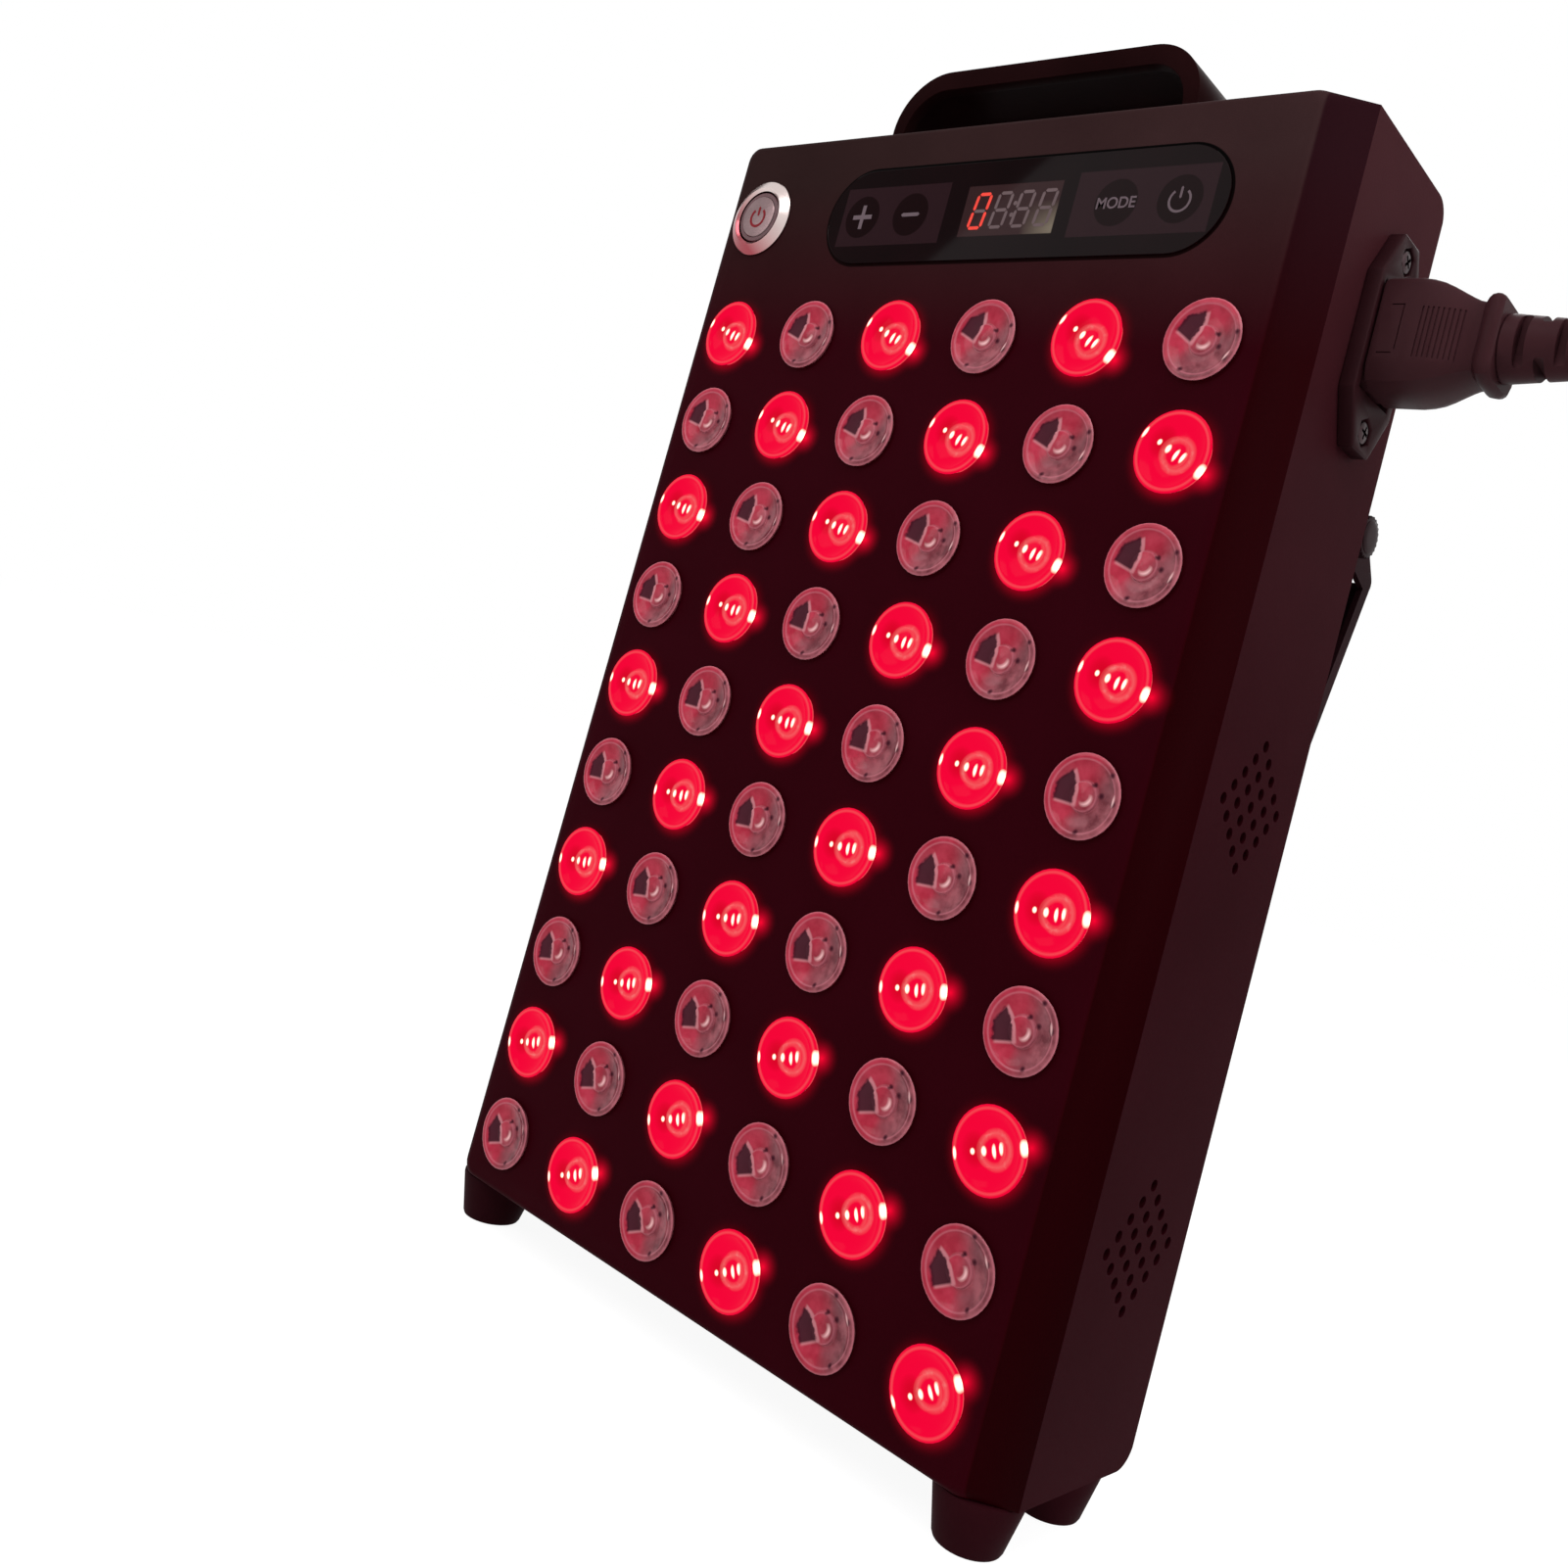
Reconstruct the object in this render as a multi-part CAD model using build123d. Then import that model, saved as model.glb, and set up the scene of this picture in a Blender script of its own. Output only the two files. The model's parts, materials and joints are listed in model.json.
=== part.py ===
from build123d import *
import math
import os

# Red light therapy panel, in millimetres, standing upright on its four feet.
# +X is the viewer's right, where the mains inlet is, the lenses face -Y, and +Z is up.
# Below, y is counted from the front cover's face and z from the surface that it stands on.
# The finished pieces are moved so that the origin is the bottom centre of the panel's box.

# Casing
SHEET = 1.5
SEAM_Y = 9.2
BEVEL_W = 8.2
COVER_EDGE_R = 2.5
REAR_EDGE_R = 5.5
FIT_GAP = 0.1
RUN_GAP = 0.05
MOVE_GAP = 0.3
OVERRUN = 2.0
LIP_MARGIN = 2.0

# Feet
FOOT_H = 12.2
FOOT_TOP_R = 10.5
FOOT_SOLE_R = 7.8
FOOT_SIDE_MARGIN = 0.7
FOOT_FRONT_MARGIN = 1.1
FOOT_REAR_MARGIN = 1.6
FOOT_SCREW_LENGTH = 7.0

# Lenses, in columns and rows on the front
COLUMNS = 6
ROWS = 10
COLUMN_PITCH = 30.0
ROW_PITCH = 25.42
GRID_SIDE_MARGIN = 22.2
GRID_TOP_MARGIN = 57.11
GRID_BOTTOM_MARGIN = 15.71
LENS_R = 9.55
LENS_BACK_R = 4.6
LENS_PROUD = 1.2
LENS_BACK_Y = 9.7
LENS_SIDES = 10
LENS_HOLE_SIDES = 8

# Light board, chips and heat sink
CHIP_SIZE = 3.5
CHIP_H = 1.3
BOARD_T = 1.6
BOARD_GAP = 0.71
SINK_BASE_T = 2.5
SINK_DEPTH = 10.0
FIN_T = 1.5
FIN_COUNT = 15

# Screws and standoffs
SCREW_R = 1.75
SCREW_HEAD_R = 3.3
SCREW_HEAD_H = 2.2
SHANK_SIDES = 6
HEAD_SIDES = 6
ROUND_SIDES = 20
STANDOFF_R = 2.6

# Control overlay and what lies behind it
OVERLAY_LEFT_MARGIN = 48.5
OVERLAY_RIGHT_MARGIN = 24.9
OVERLAY_H = 26.0
OVERLAY_T = 0.4
OVERLAY_BELOW_TOP = 24.1
OVERLAY_BORDER = 4.0
DISPLAY_W = 32.0
DISPLAY_H = 14.5
DISPLAY_OFFSET = 0.4
DISPLAY_D = 7.6
KEY_BOARD_MARGIN = 0.8
KEY_BOARD_OVERHANG = 4.0
KEY_POST_INSET = 3.4
KEY_SHARES = (-0.8017, -0.524, 0.514, 0.795)
KEY_R = 5.8
KEY_SIDES = 12

# Power button
BUTTON_SIDE_MARGIN = 21.0
BUTTON_BELOW_TOP = 22.7
BEZEL_R = 10.9
BEZEL_FACE_R = 9.3
BEZEL_PROUD = 2.0
BEZEL_BARREL_R = 8.1
BEZEL_BARREL_END_Y = 13.0
CAP_R = 7.2
CAP_CENTRE_R = 5.9
CAP_RECESS = 0.4
CAP_SET_BACK = 0.2
CAP_LENGTH = 6.0
CAP_TRAVEL = 2.0
NUT_R = 10.4
NUT_T = 2.5
SWITCH_R = 7.6
SWITCH_END_Y = 26.0
TERMINAL_T = 1.0
TERMINAL_W = 4.0
TERMINAL_L = 6.0
TERMINAL_PITCH = 4.0

# Handle
HANDLE_W = 96.4
HANDLE_H = 24.4
HANDLE_D = 28.0
HANDLE_CORNER_R = 16.0
HANDLE_TOP_T = 5.2
HANDLE_LEG_T = 4.0
HANDLE_CHANNEL = 2.2
HANDLE_LIP = 3.5
HANDLE_PAD_W = 12.0
HANDLE_PAD_H = 5.0
HANDLE_SCREW_DEPTH = 4.0

# Side vents: two groups on the right, square lattices standing on a corner
VENT_COUNT = 5
VENT_STEP = 3.447
VENT_HOLE_R = 1.5
VENT_SIDES = 4
VENT_TO_BACK = 22.5

# Mains inlet on the right
INLET_TO_BACK = 21.3
INLET_BELOW_TOP = 44.4
INLET_TIP_H = 24.8
INLET_TIP_W = 4.5
INLET_WAIST_H = 13.4
INLET_WAIST_W = 11.2
INLET_PROUD = 3.8
INLET_BODY_H = 27.4
INLET_BODY_W = 20.0
INLET_SOCKET_H = 24.6
INLET_SOCKET_W = 16.8
INLET_SOCKET_DEPTH = 15.0
INLET_BODY_END = 18.0
INLET_SCREW_SPACING = 40.0
PIN_W = 2.0
PIN_H = 4.0
PIN_LENGTH = 12.5
PIN_TAIL = 6.0
PIN_PITCH = 7.0
PIN_EARTH_OFFSET = 4.0

# Power supply
SUPPLY_SIDE_MARGIN = 22.2
SUPPLY_H = 80.0
SUPPLY_D = 23.0
SUPPLY_TOP_GAP = 20.3
SUPPLY_FOOT_W = 9.0
SUPPLY_FOOT_T = 2.0

# Fans, behind slots in the rear wall, at shares of the height below the power supply
FAN_SIZE = 70.0
FAN_D = 25.0
FAN_GAP = 5.4
FAN_HEIGHT_SHARES = (0.26076, 0.75225)
FAN_CORNER = 3.0
FAN_SIDES = 16
FAN_RIM = 2.0
FAN_HUB_R = 15.0
FAN_HUB_PLATE_T = 2.6
FAN_STRUT_W = 4.0
FAN_SHAFT_R = 1.5
FAN_ROTOR_D = 17.0
FAN_BLADES = 7
FAN_TIP_GAP = 1.6
BLADE_T = 1.3
BLADE_CHORD = 17.0
BLADE_ROOT_CHORD = 11.0
BLADE_ROOT_SINK = 0.8
BLADE_PITCH_DEG = 40.0
FAN_SLOTS = 9
FAN_SLOT_PITCH_SHARE = 0.2
FAN_SLOT_OPEN_SHARE = 0.6

# Stand, folded against the back
HINGE_BEHIND = 6.7
HINGE_BELOW_TOP = 80.5
STAND_SIDE_MARGIN = 4.6
STAND_T = 1.5
STAND_FLANGE_D = 3.7
STAND_BEHIND = 5.5
STAND_KNEE_DROP = 55.3
STAND_LEAN_DEG = 15.0
STAND_EAR_DROP = 8.3
STAND_CORNER_R = 2.4
STAND_BOTTOM_Z = 17.0
STAND_LEG_W = 17.0
STAND_CROSS_H = 20.0
STAND_EAR_R = 6.0
STAND_PAD_W = 24.0
STAND_PAD_H = 3.0
STAND_PAD_INSET = 5.0
PIVOT_R = 2.0
KNOB_R = 5.2
KNOB_T = 3.0
KNOB_RIDGES = 12
KNOB_RIDGE_SHARE = 0.9
KNOB_DOME_R = 4.2
KNOB_DOME_T = 0.5
BRACKET_H = 24.0
BRACKET_FOOT_W = 13.0
BRACKET_EAR_R = 5.4
PIVOT_NUT_R = 3.8
PIVOT_NUT_T = 2.6
BRACKET_SCREW_SPREAD = 15.0

# Mains lead
PLUG_H = 28.0
PLUG_W = 20.0
PLUG_CORNER = 2.5
PLUG_BODY = 12.0
PLUG_TAPER = 10.0
NECK_H = 18.5
NECK_W = 13.5
COLLAR_H = 22.0
COLLAR_W = 17.0
COLLAR_T = 4.2
COLLAR_CORNER = 4.5
RELIEF_R = 7.2
RELIEF_END_R = 4.9
RELIEF_LENGTH = 29.0
RELIEF_SIDES = 16
RELIEF_SLOTS = 4
RELIEF_SLOT_W = 2.2
RELIEF_SLOT_PITCH = 5.6
CORD_D = 7.2
CORD_SPACE = 0.5
CORD_ARC_SHARE = 0.45
COIL_TURNS = 2.35
TIED_TURNS = 2.25
COIL_CLIMB = 0.5
COIL_DIAMETERS = 12
QUARTER_SHARE = 0.25
STATION_SHARE = 1e-4
GAP_POINTS = 600
LAST_RUN = 26.0
WALL_PLUG_W = 27.0
WALL_PLUG_H = 24.0
WALL_PLUG_L = 22.0
WALL_PLUG_TAPER = 12.0
WALL_PLUG_CORNER = 3.5
WALL_RELIEF_LENGTH = 22.0
WALL_RELIEF_SLOTS = 3
BLADE_GAP = 12.7
PLUG_BLADE_W = 6.4
PLUG_BLADE_RISE = 4.6
PLUG_BLADE_T = 1.6
PLUG_BLADE_L = 17.0
PLUG_PIN_R = 2.4
PLUG_PIN_L = 20.0
PLUG_PIN_DROP = 11.9
TIE_W = 9.0
TIE_T = 0.8
TIE_GAP = 0.35

# Places that follow from the sizes above
case_w = (COLUMNS - 1) * COLUMN_PITCH + 2 * GRID_SIDE_MARGIN
case_h = (ROWS - 1) * ROW_PITCH + GRID_TOP_MARGIN + GRID_BOTTOM_MARGIN
half_w = case_w / 2
case_bottom = FOOT_H
case_top = FOOT_H + case_h
grid_z = case_bottom + GRID_BOTTOM_MARGIN + (ROWS - 1) / 2 * ROW_PITCH
board_y = LENS_BACK_Y + CHIP_H
sink_y = board_y + BOARD_T
board_margin = GRID_BOTTOM_MARGIN - 2 * SHEET - BOARD_GAP
board_half_w = (COLUMNS - 1) / 2 * COLUMN_PITCH + board_margin
board_half_h = (ROWS - 1) / 2 * ROW_PITCH + board_margin
inner_back_y = sink_y + SINK_DEPTH + FAN_GAP + FAN_D
case_d = inner_back_y + SHEET
foot_x = half_w - FOOT_TOP_R - FOOT_SIDE_MARGIN
foot_front_y = FOOT_TOP_R + FOOT_FRONT_MARGIN
foot_rear_y = case_d - FOOT_TOP_R - FOOT_REAR_MARGIN
overlay_z = case_top - OVERLAY_BELOW_TOP
overlay_w = case_w - OVERLAY_LEFT_MARGIN - OVERLAY_RIGHT_MARGIN
overlay_x = half_w - OVERLAY_RIGHT_MARGIN - overlay_w / 2
display_x = overlay_x + DISPLAY_OFFSET
key_x = [overlay_x + share * overlay_w / 2 for share in KEY_SHARES]
button_x = -(half_w - BUTTON_SIDE_MARGIN)
button_z = case_top - BUTTON_BELOW_TOP
inlet_y = case_d - INLET_TO_BACK
inlet_z = case_top - INLET_BELOW_TOP
inlet_face_x = half_w + INLET_PROUD
supply_w = case_w - 2 * SUPPLY_SIDE_MARGIN
supply_top_z = case_top - SHEET - SUPPLY_TOP_GAP
supply_bottom_z = supply_top_z - SUPPLY_H
supply_front_y = inner_back_y - SUPPLY_D
fan_centres = [
    case_bottom + share * (supply_bottom_z - case_bottom) for share in FAN_HEIGHT_SHARES
]
fan_bore_r = FAN_SIZE / 2 - FAN_RIM
blade_tip_r = fan_bore_r - FAN_TIP_GAP
fan_slot_pitch = fan_bore_r * FAN_SLOT_PITCH_SHARE
fan_slot_h = fan_slot_pitch * FAN_SLOT_OPEN_SHARE
vent_y = case_d - VENT_TO_BACK
hinge_y = case_d + HINGE_BEHIND
hinge_z = case_top - HINGE_BELOW_TOP
stand_half_w = half_w - STAND_SIDE_MARGIN
stand_low_front_y = case_d + STAND_BEHIND
stand_knee_z = hinge_z - STAND_KNEE_DROP
stand_ear_bottom_z = hinge_z - STAND_EAR_DROP
stand_lean = math.radians(STAND_LEAN_DEG)
exit_x = inlet_face_x + MOVE_GAP + PLUG_BODY + PLUG_TAPER + COLLAR_T + RELIEF_LENGTH

# Hand-chosen points of the free cord, from the strain relief's end down to its coil
CORD_POINTS = (
    (156.5, 33.2, 269.4),
    (180.0, 33.2, 269.4),
    (204.0, 32.0, 255.0),
    (216.0, 24.0, 222.0),
    (217.5, 8.0, 174.0),
    (214.0, -7.0, 130.0),
    (208.5, -20.5, 95.0),
    (202.0, -28.5, 66.0),
    (196.0, -31.5, 39.0),
    (191.1, -22.0, 16.8),
    (190.1, -1.0, 4.1),
    (190.1, 25.0, 4.1),
)


def block(x0, x1, y0, y1, z0, z1):
    """A box between two corners."""
    middle = Pos((x0 + x1) / 2, (y0 + y1) / 2, (z0 + z1) / 2)
    return middle * Box(abs(x1 - x0), abs(y1 - y0), abs(z1 - z0))


def bar_y(x, z, radius, y0, y1):
    """A round bar along Y."""
    return Pos(x, (y0 + y1) / 2, z) * Rot(90, 0, 0) * Cylinder(radius, abs(y1 - y0))


def bar_x(y, z, radius, x0, x1):
    """A round bar along X."""
    return Pos((x0 + x1) / 2, y, z) * Rot(0, 90, 0) * Cylinder(radius, abs(x1 - x0))


def prism(radius, sides, length):
    """A prism of so many sides, standing on XY."""
    return extrude(RegularPolygon(radius, sides), length)


def frustum(large_r, small_r, sides, length):
    """A tapered prism whose large end is on XY."""
    slope = (large_r - small_r) * math.cos(math.pi / sides) / length
    return extrude(RegularPolygon(large_r, sides), length, taper=math.degrees(math.atan(slope)))


def frustum_y(x, z, large_r, small_r, sides, y0, y1):
    """A tapered prism along Y whose large end is at y0."""
    turn = Rot(-90, 0, 0) if y1 > y0 else Rot(90, 0, 0)
    return Pos(x, y0, z) * turn * frustum(large_r, small_r, sides, abs(y1 - y0))


def prism_y(x, z, radius, sides, y0, y1):
    """A prism along Y, from y0 back to y1."""
    return Pos(x, y0, z) * Rot(-90, 0, 0) * prism(radius, sides, y1 - y0)


def prism_x(y, z, radius, sides, x0, x1):
    """A prism along X, from x0 to x1."""
    return Pos(x0, y, z) * Rot(0, 90, 0) * prism(radius, sides, x1 - x0)


def face_xz(points, y):
    """A flat face on the plane at y, from points (x, z)."""
    return make_face(Polyline([(x, y, z) for x, z in points], close=True))


def screw(length):
    """A pan-head screw: its head's underside is on XY and its shank points up."""
    shank = prism(SCREW_R, SHANK_SIDES, length)
    return Pos(0, 0, -SCREW_HEAD_H) * prism(SCREW_HEAD_R, HEAD_SIDES, SCREW_HEAD_H) + shank


def both_sides(piece):
    """A piece and its mirror image about the panel's middle plane."""
    return [piece, mirror(piece, Plane.YZ)]


def bevel_half_width(y, inset):
    """Half the cover's width at a depth y, inside a skin of the given thickness."""
    slope = BEVEL_W / SEAM_Y
    return half_w - BEVEL_W + y * slope - inset * math.hypot(1, slope)


def cover_shell(inset, back_y):
    """The cover's sloping-sided block, shrunk by an inset and reaching back to back_y."""
    front = [(-bevel_half_width(inset, inset), inset), (bevel_half_width(inset, inset), inset)]
    rear = [(bevel_half_width(back_y, inset), back_y), (-bevel_half_width(back_y, inset), back_y)]
    height = case_h - 2 * inset
    outline = make_face(Polyline(front + rear, close=True))
    return Pos(0, 0, case_bottom + inset) * extrude(outline, height)


def lens_places():
    """Each lens as (column, row, x, z), rows counted from the top."""
    for row in range(ROWS):
        for column in range(COLUMNS):
            x = (column - (COLUMNS - 1) / 2) * COLUMN_PITCH
            z = grid_z + ((ROWS - 1) / 2 - row) * ROW_PITCH
            yield column, row, x, z


def lens_radius_at(y):
    """A lens's radius at a depth y, because it tapers towards its chip."""
    share = (y + LENS_PROUD) / (LENS_BACK_Y + LENS_PROUD)
    return LENS_R + (LENS_BACK_R - LENS_R) * share


lip_x = half_w - 2 * FOOT_TOP_R - SCREW_HEAD_R
lip_back_y = SEAM_Y + 2 * SCREW_HEAD_R + LIP_MARGIN
cover_screw_y = (SEAM_Y + lip_back_y) / 2
cover_screw_reach = lip_x - SCREW_HEAD_R - LIP_MARGIN
cover_screw_x = (-cover_screw_reach, 0, cover_screw_reach)


def cover_lips():
    """The cover's two return lips, inside the casing's floor and roof."""
    low = block(-lip_x, lip_x, SHEET, lip_back_y, case_bottom + SHEET, case_bottom + 2 * SHEET)
    high = block(-lip_x, lip_x, SHEET, lip_back_y, case_top - 2 * SHEET, case_top - SHEET)
    return low + high


def front_cover():
    """The pressed sheet front with its bevels, lens holes, window, button hole and lips."""
    cover = cover_shell(0, SEAM_Y)
    level = [e for e in cover.faces().sort_by(Axis.Y)[0].edges() if abs(e.tangent_at(0).Z) < 0.5]
    cover = fillet(level, COVER_EDGE_R) - cover_shell(SHEET, SEAM_Y)
    cover = cover + cover_lips()
    hole_r = (lens_radius_at(0) + FIT_GAP) / math.cos(math.pi / LENS_HOLE_SIDES)
    places = [Pos(x, z) for _, _, x, z in lens_places()]
    holes = Sketch() + [place * RegularPolygon(hole_r, LENS_HOLE_SIDES) for place in places]
    window = Pos(overlay_x, overlay_z) * Rectangle(
        overlay_w - 2 * OVERLAY_BORDER, OVERLAY_H - 2 * OVERLAY_BORDER
    )
    button = Pos(button_x, button_z) * RegularPolygon(BEZEL_BARREL_R + FIT_GAP, ROUND_SIDES)
    cuts = Pos(0, SHEET + OVERRUN, 0) * Rot(90, 0, 0) * extrude(
        holes + window + button, SHEET + 2 * OVERRUN
    )
    cover = cover - cuts
    for x in cover_screw_x:
        hole = Pos(x, cover_screw_y, 0) * prism(SCREW_R + FIT_GAP, SHANK_SIDES, 2 * case_top)
        cover = cover - hole
    return cover


def vent_holes():
    """Both groups of vent holes, as prisms through the right side wall."""
    middle = (VENT_COUNT - 1) / 2
    places = []
    for centre_z in fan_centres:
        for i in range(VENT_COUNT):
            for j in range(VENT_COUNT):
                y = vent_y + (i - j) * VENT_STEP
                z = centre_z + (i + j - 2 * middle) * VENT_STEP
                places.append(Pos(-z, y))
    holes = Sketch() + [place * RegularPolygon(VENT_HOLE_R, VENT_SIDES) for place in places]
    return Pos(half_w - SHEET - OVERRUN, 0, 0) * Rot(0, 90, 0) * extrude(holes, SHEET + 2 * OVERRUN)


def fan_slots():
    """The level slots in the rear wall behind each fan, as long as its bore allows."""
    slots = []
    reach = fan_bore_r - fan_slot_h / 2
    for centre_z in fan_centres:
        for i in range(FAN_SLOTS):
            dz = (i - (FAN_SLOTS - 1) / 2) * fan_slot_pitch
            half = math.sqrt(reach**2 - dz**2)
            z0 = centre_z + dz - fan_slot_h / 2
            slots.append(
                block(-half, half, inner_back_y - OVERRUN, case_d + OVERRUN, z0, z0 + fan_slot_h)
            )
    return slots


def casing_block(inset):
    """The rear casing's outline, shrunk by an inset, with its rounded rear edges."""
    body = block(
        -half_w + inset,
        half_w - inset,
        SEAM_Y,
        case_d - inset,
        case_bottom + inset,
        case_top - inset,
    )
    rear = body.faces().sort_by(Axis.Y)[-1]
    level = [e for e in rear.edges() if abs(e.tangent_at(0).Z) < 0.5]
    return fillet(level, REAR_EDGE_R - inset)


def rear_casing():
    """The sheet box behind the seam: sides, floor, roof and back."""
    casing = casing_block(0) - casing_block(SHEET)
    casing = casing - vent_holes() - fan_slots()
    half_h = INLET_BODY_H / 2 + FIT_GAP
    half_t = INLET_BODY_W / 2 + FIT_GAP
    casing = casing - block(
        half_w - SHEET - OVERRUN,
        half_w + OVERRUN,
        inlet_y - half_t,
        inlet_y + half_t,
        inlet_z - half_h,
        inlet_z + half_h,
    )
    drill = prism(SCREW_R + FIT_GAP, SHANK_SIDES, 2 * SHEET + 2 * OVERRUN)
    for x in cover_screw_x:
        for z in (case_bottom - OVERRUN, case_top - SHEET - OVERRUN):
            casing = casing - Pos(x, cover_screw_y, z) * drill
    for x in (-foot_x, foot_x):
        for y in (foot_front_y, foot_rear_y):
            casing = casing - Pos(x, y, case_bottom - OVERRUN) * drill
    for x, y in handle_screw_places():
        casing = casing - Pos(x, y, case_top - SHEET - OVERRUN) * drill
    for z in inlet_screw_heights():
        casing = casing - prism_x(
            inlet_y,
            z,
            SCREW_R + FIT_GAP,
            SHANK_SIDES,
            half_w - SHEET - OVERRUN,
            half_w + OVERRUN,
        )
    return casing


def handle_screw_places():
    """The two handle screws, in the pads at the feet of its legs."""
    x = HANDLE_W / 2 - HANDLE_PAD_W / 2
    return ((-x, case_d / 2), (x, case_d / 2))


def inlet_screw_heights():
    """The heights of the inlet's two screws."""
    return (inlet_z - INLET_SCREW_SPACING / 2, inlet_z + INLET_SCREW_SPACING / 2)


def arch(leg_t, top_t, depth):
    """An arch standing on the casing, with rounded outer and inner corners."""
    outer = face_with_top_corners(HANDLE_W / 2, case_top + HANDLE_H, HANDLE_CORNER_R)
    inner_r = HANDLE_CORNER_R - leg_t
    inner = face_with_top_corners(HANDLE_W / 2 - leg_t, case_top + HANDLE_H - top_t, inner_r)
    front_y = (case_d - depth) / 2
    return Pos(0, front_y + depth, 0) * Rot(90, 0, 0) * extrude(outer - inner, depth)


def face_with_top_corners(half, top, radius):
    """A rectangle from the casing's roof up to top, with two rounded upper corners."""
    height = top - case_top
    face = Pos(0, case_top + height / 2) * Rectangle(2 * half, height)
    corners = face.vertices().sort_by(Axis.Y)[-2:]
    return fillet(corners, radius)


def handle():
    """The moulded carrying handle: a channel-shaped arch on two screw pads."""
    body = arch(HANDLE_LEG_T, HANDLE_TOP_T, HANDLE_D)
    inside = arch(HANDLE_LEG_T, HANDLE_TOP_T, HANDLE_D - 2 * HANDLE_LIP)
    skin = arch(
        HANDLE_LEG_T - HANDLE_CHANNEL,
        HANDLE_TOP_T - HANDLE_CHANNEL,
        HANDLE_D - 2 * HANDLE_LIP,
    )
    body = body - (inside - skin)
    pad_half_d = HANDLE_D / 2 - HANDLE_LIP
    for side in (-1, 1):
        x0 = side * (HANDLE_W / 2 - HANDLE_PAD_W)
        x1 = side * (HANDLE_W / 2 - HANDLE_LEG_T / 2)
        y0 = case_d / 2 - pad_half_d
        y1 = case_d / 2 + pad_half_d
        body = body + block(x0, x1, y0, y1, case_top, case_top + HANDLE_PAD_H)
    for x, y in handle_screw_places():
        body = body - Pos(x, y, case_top - OVERRUN) * prism(
            SCREW_R + FIT_GAP, SHANK_SIDES, OVERRUN + HANDLE_SCREW_DEPTH + FIT_GAP
        )
    return body


def foot(x, y):
    """One tapered rubber foot, drilled for its screw from above."""
    cone = Pos(x, y, FOOT_H) * Rot(180, 0, 0) * frustum(
        FOOT_TOP_R, FOOT_SOLE_R, ROUND_SIDES, FOOT_H
    )
    depth = FOOT_SCREW_LENGTH + FIT_GAP
    return cone - Pos(x, y, FOOT_H - depth) * prism(SCREW_R + FIT_GAP, SHANK_SIDES, depth)


def screws_down(places, under_head_z, length):
    """Screws pointing down, with their heads resting at the given height."""
    return [Pos(x, y, under_head_z) * Rot(180, 0, 0) * screw(length) for x, y in places]


def screws_up(places, under_head_z, length):
    """Screws pointing up, with their heads' undersides at the given height."""
    return [Pos(x, y, under_head_z) * screw(length) for x, y in places]


def cover_screws():
    """Three screws through the casing's roof and three through its floor, into the lips."""
    places = [(x, cover_screw_y) for x in cover_screw_x]
    length = 2 * SHEET
    return screws_up(places, case_bottom, length) + screws_down(places, case_top, length)


def lens(x, z):
    """One lens: a tapered collimator whose wide front stands proud of the cover."""
    return frustum_y(x, z, LENS_R, LENS_BACK_R, LENS_SIDES, -LENS_PROUD, LENS_BACK_Y)


def lenses(lit):
    """The red or the infrared lenses, which alternate like a chequerboard."""
    places = [(x, z) for column, row, x, z in lens_places() if ((column + row) % 2 == 0) == lit]
    return [lens(x, z) for x, z in places]


def led_chips():
    """A square light chip behind each lens."""
    half = CHIP_SIZE / 2
    return [
        block(x - half, x + half, LENS_BACK_Y, board_y, z - half, z + half)
        for _, _, x, z in lens_places()
    ]


def led_board():
    """The metal-cored board that carries the chips."""
    return block(
        -board_half_w,
        board_half_w,
        board_y,
        sink_y,
        grid_z - board_half_h,
        grid_z + board_half_h,
    )


def heat_sink():
    """An extruded sink with upright fins, behind the light board."""
    outline = Rectangle(2 * board_half_w, SINK_BASE_T, align=(Align.CENTER, Align.MIN))
    pitch = (2 * board_half_w - FIN_T) / (FIN_COUNT - 1)
    for i in range(FIN_COUNT):
        x = (i - (FIN_COUNT - 1) / 2) * pitch
        outline = outline + Pos(x, 0) * Rectangle(FIN_T, SINK_DEPTH, align=(Align.CENTER, Align.MIN))
    sink = extrude(outline, 2 * board_half_h)
    return Pos(0, sink_y, grid_z - board_half_h) * sink


def standoff_places():
    """The six standoffs, between the lens columns and rows."""
    x = COLUMN_PITCH * (COLUMNS - 2) / 2
    dz = ROW_PITCH * (ROWS - 2) / 2
    return [(sx * x, grid_z + sz * dz) for sx in (-1, 1) for sz in (-1, 0, 1)]


def board_standoffs():
    """Hexagonal posts that hold the light board behind the cover."""
    return [
        prism_y(x, z, STANDOFF_R, SHANK_SIDES, SHEET, board_y) for x, z in standoff_places()
    ]


key_board_y = DISPLAY_D


def control_overlay():
    """The glossy overlay with round ends, flush on the cover's face."""
    sheet = extrude(SlotOverall(overlay_w, OVERLAY_H), OVERLAY_T)
    return Pos(overlay_x, 0, overlay_z) * Rot(90, 0, 0) * sheet


def display_module():
    """The four-digit display, against the overlay's back."""
    return block(
        display_x - DISPLAY_W / 2,
        display_x + DISPLAY_W / 2,
        0,
        key_board_y,
        overlay_z - DISPLAY_H / 2,
        overlay_z + DISPLAY_H / 2,
    )


def touch_key_pads():
    """The four touch keys' sensing posts, between overlay and board."""
    return [prism_y(x, overlay_z, KEY_R, KEY_SIDES, 0, key_board_y) for x in key_x]


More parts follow.
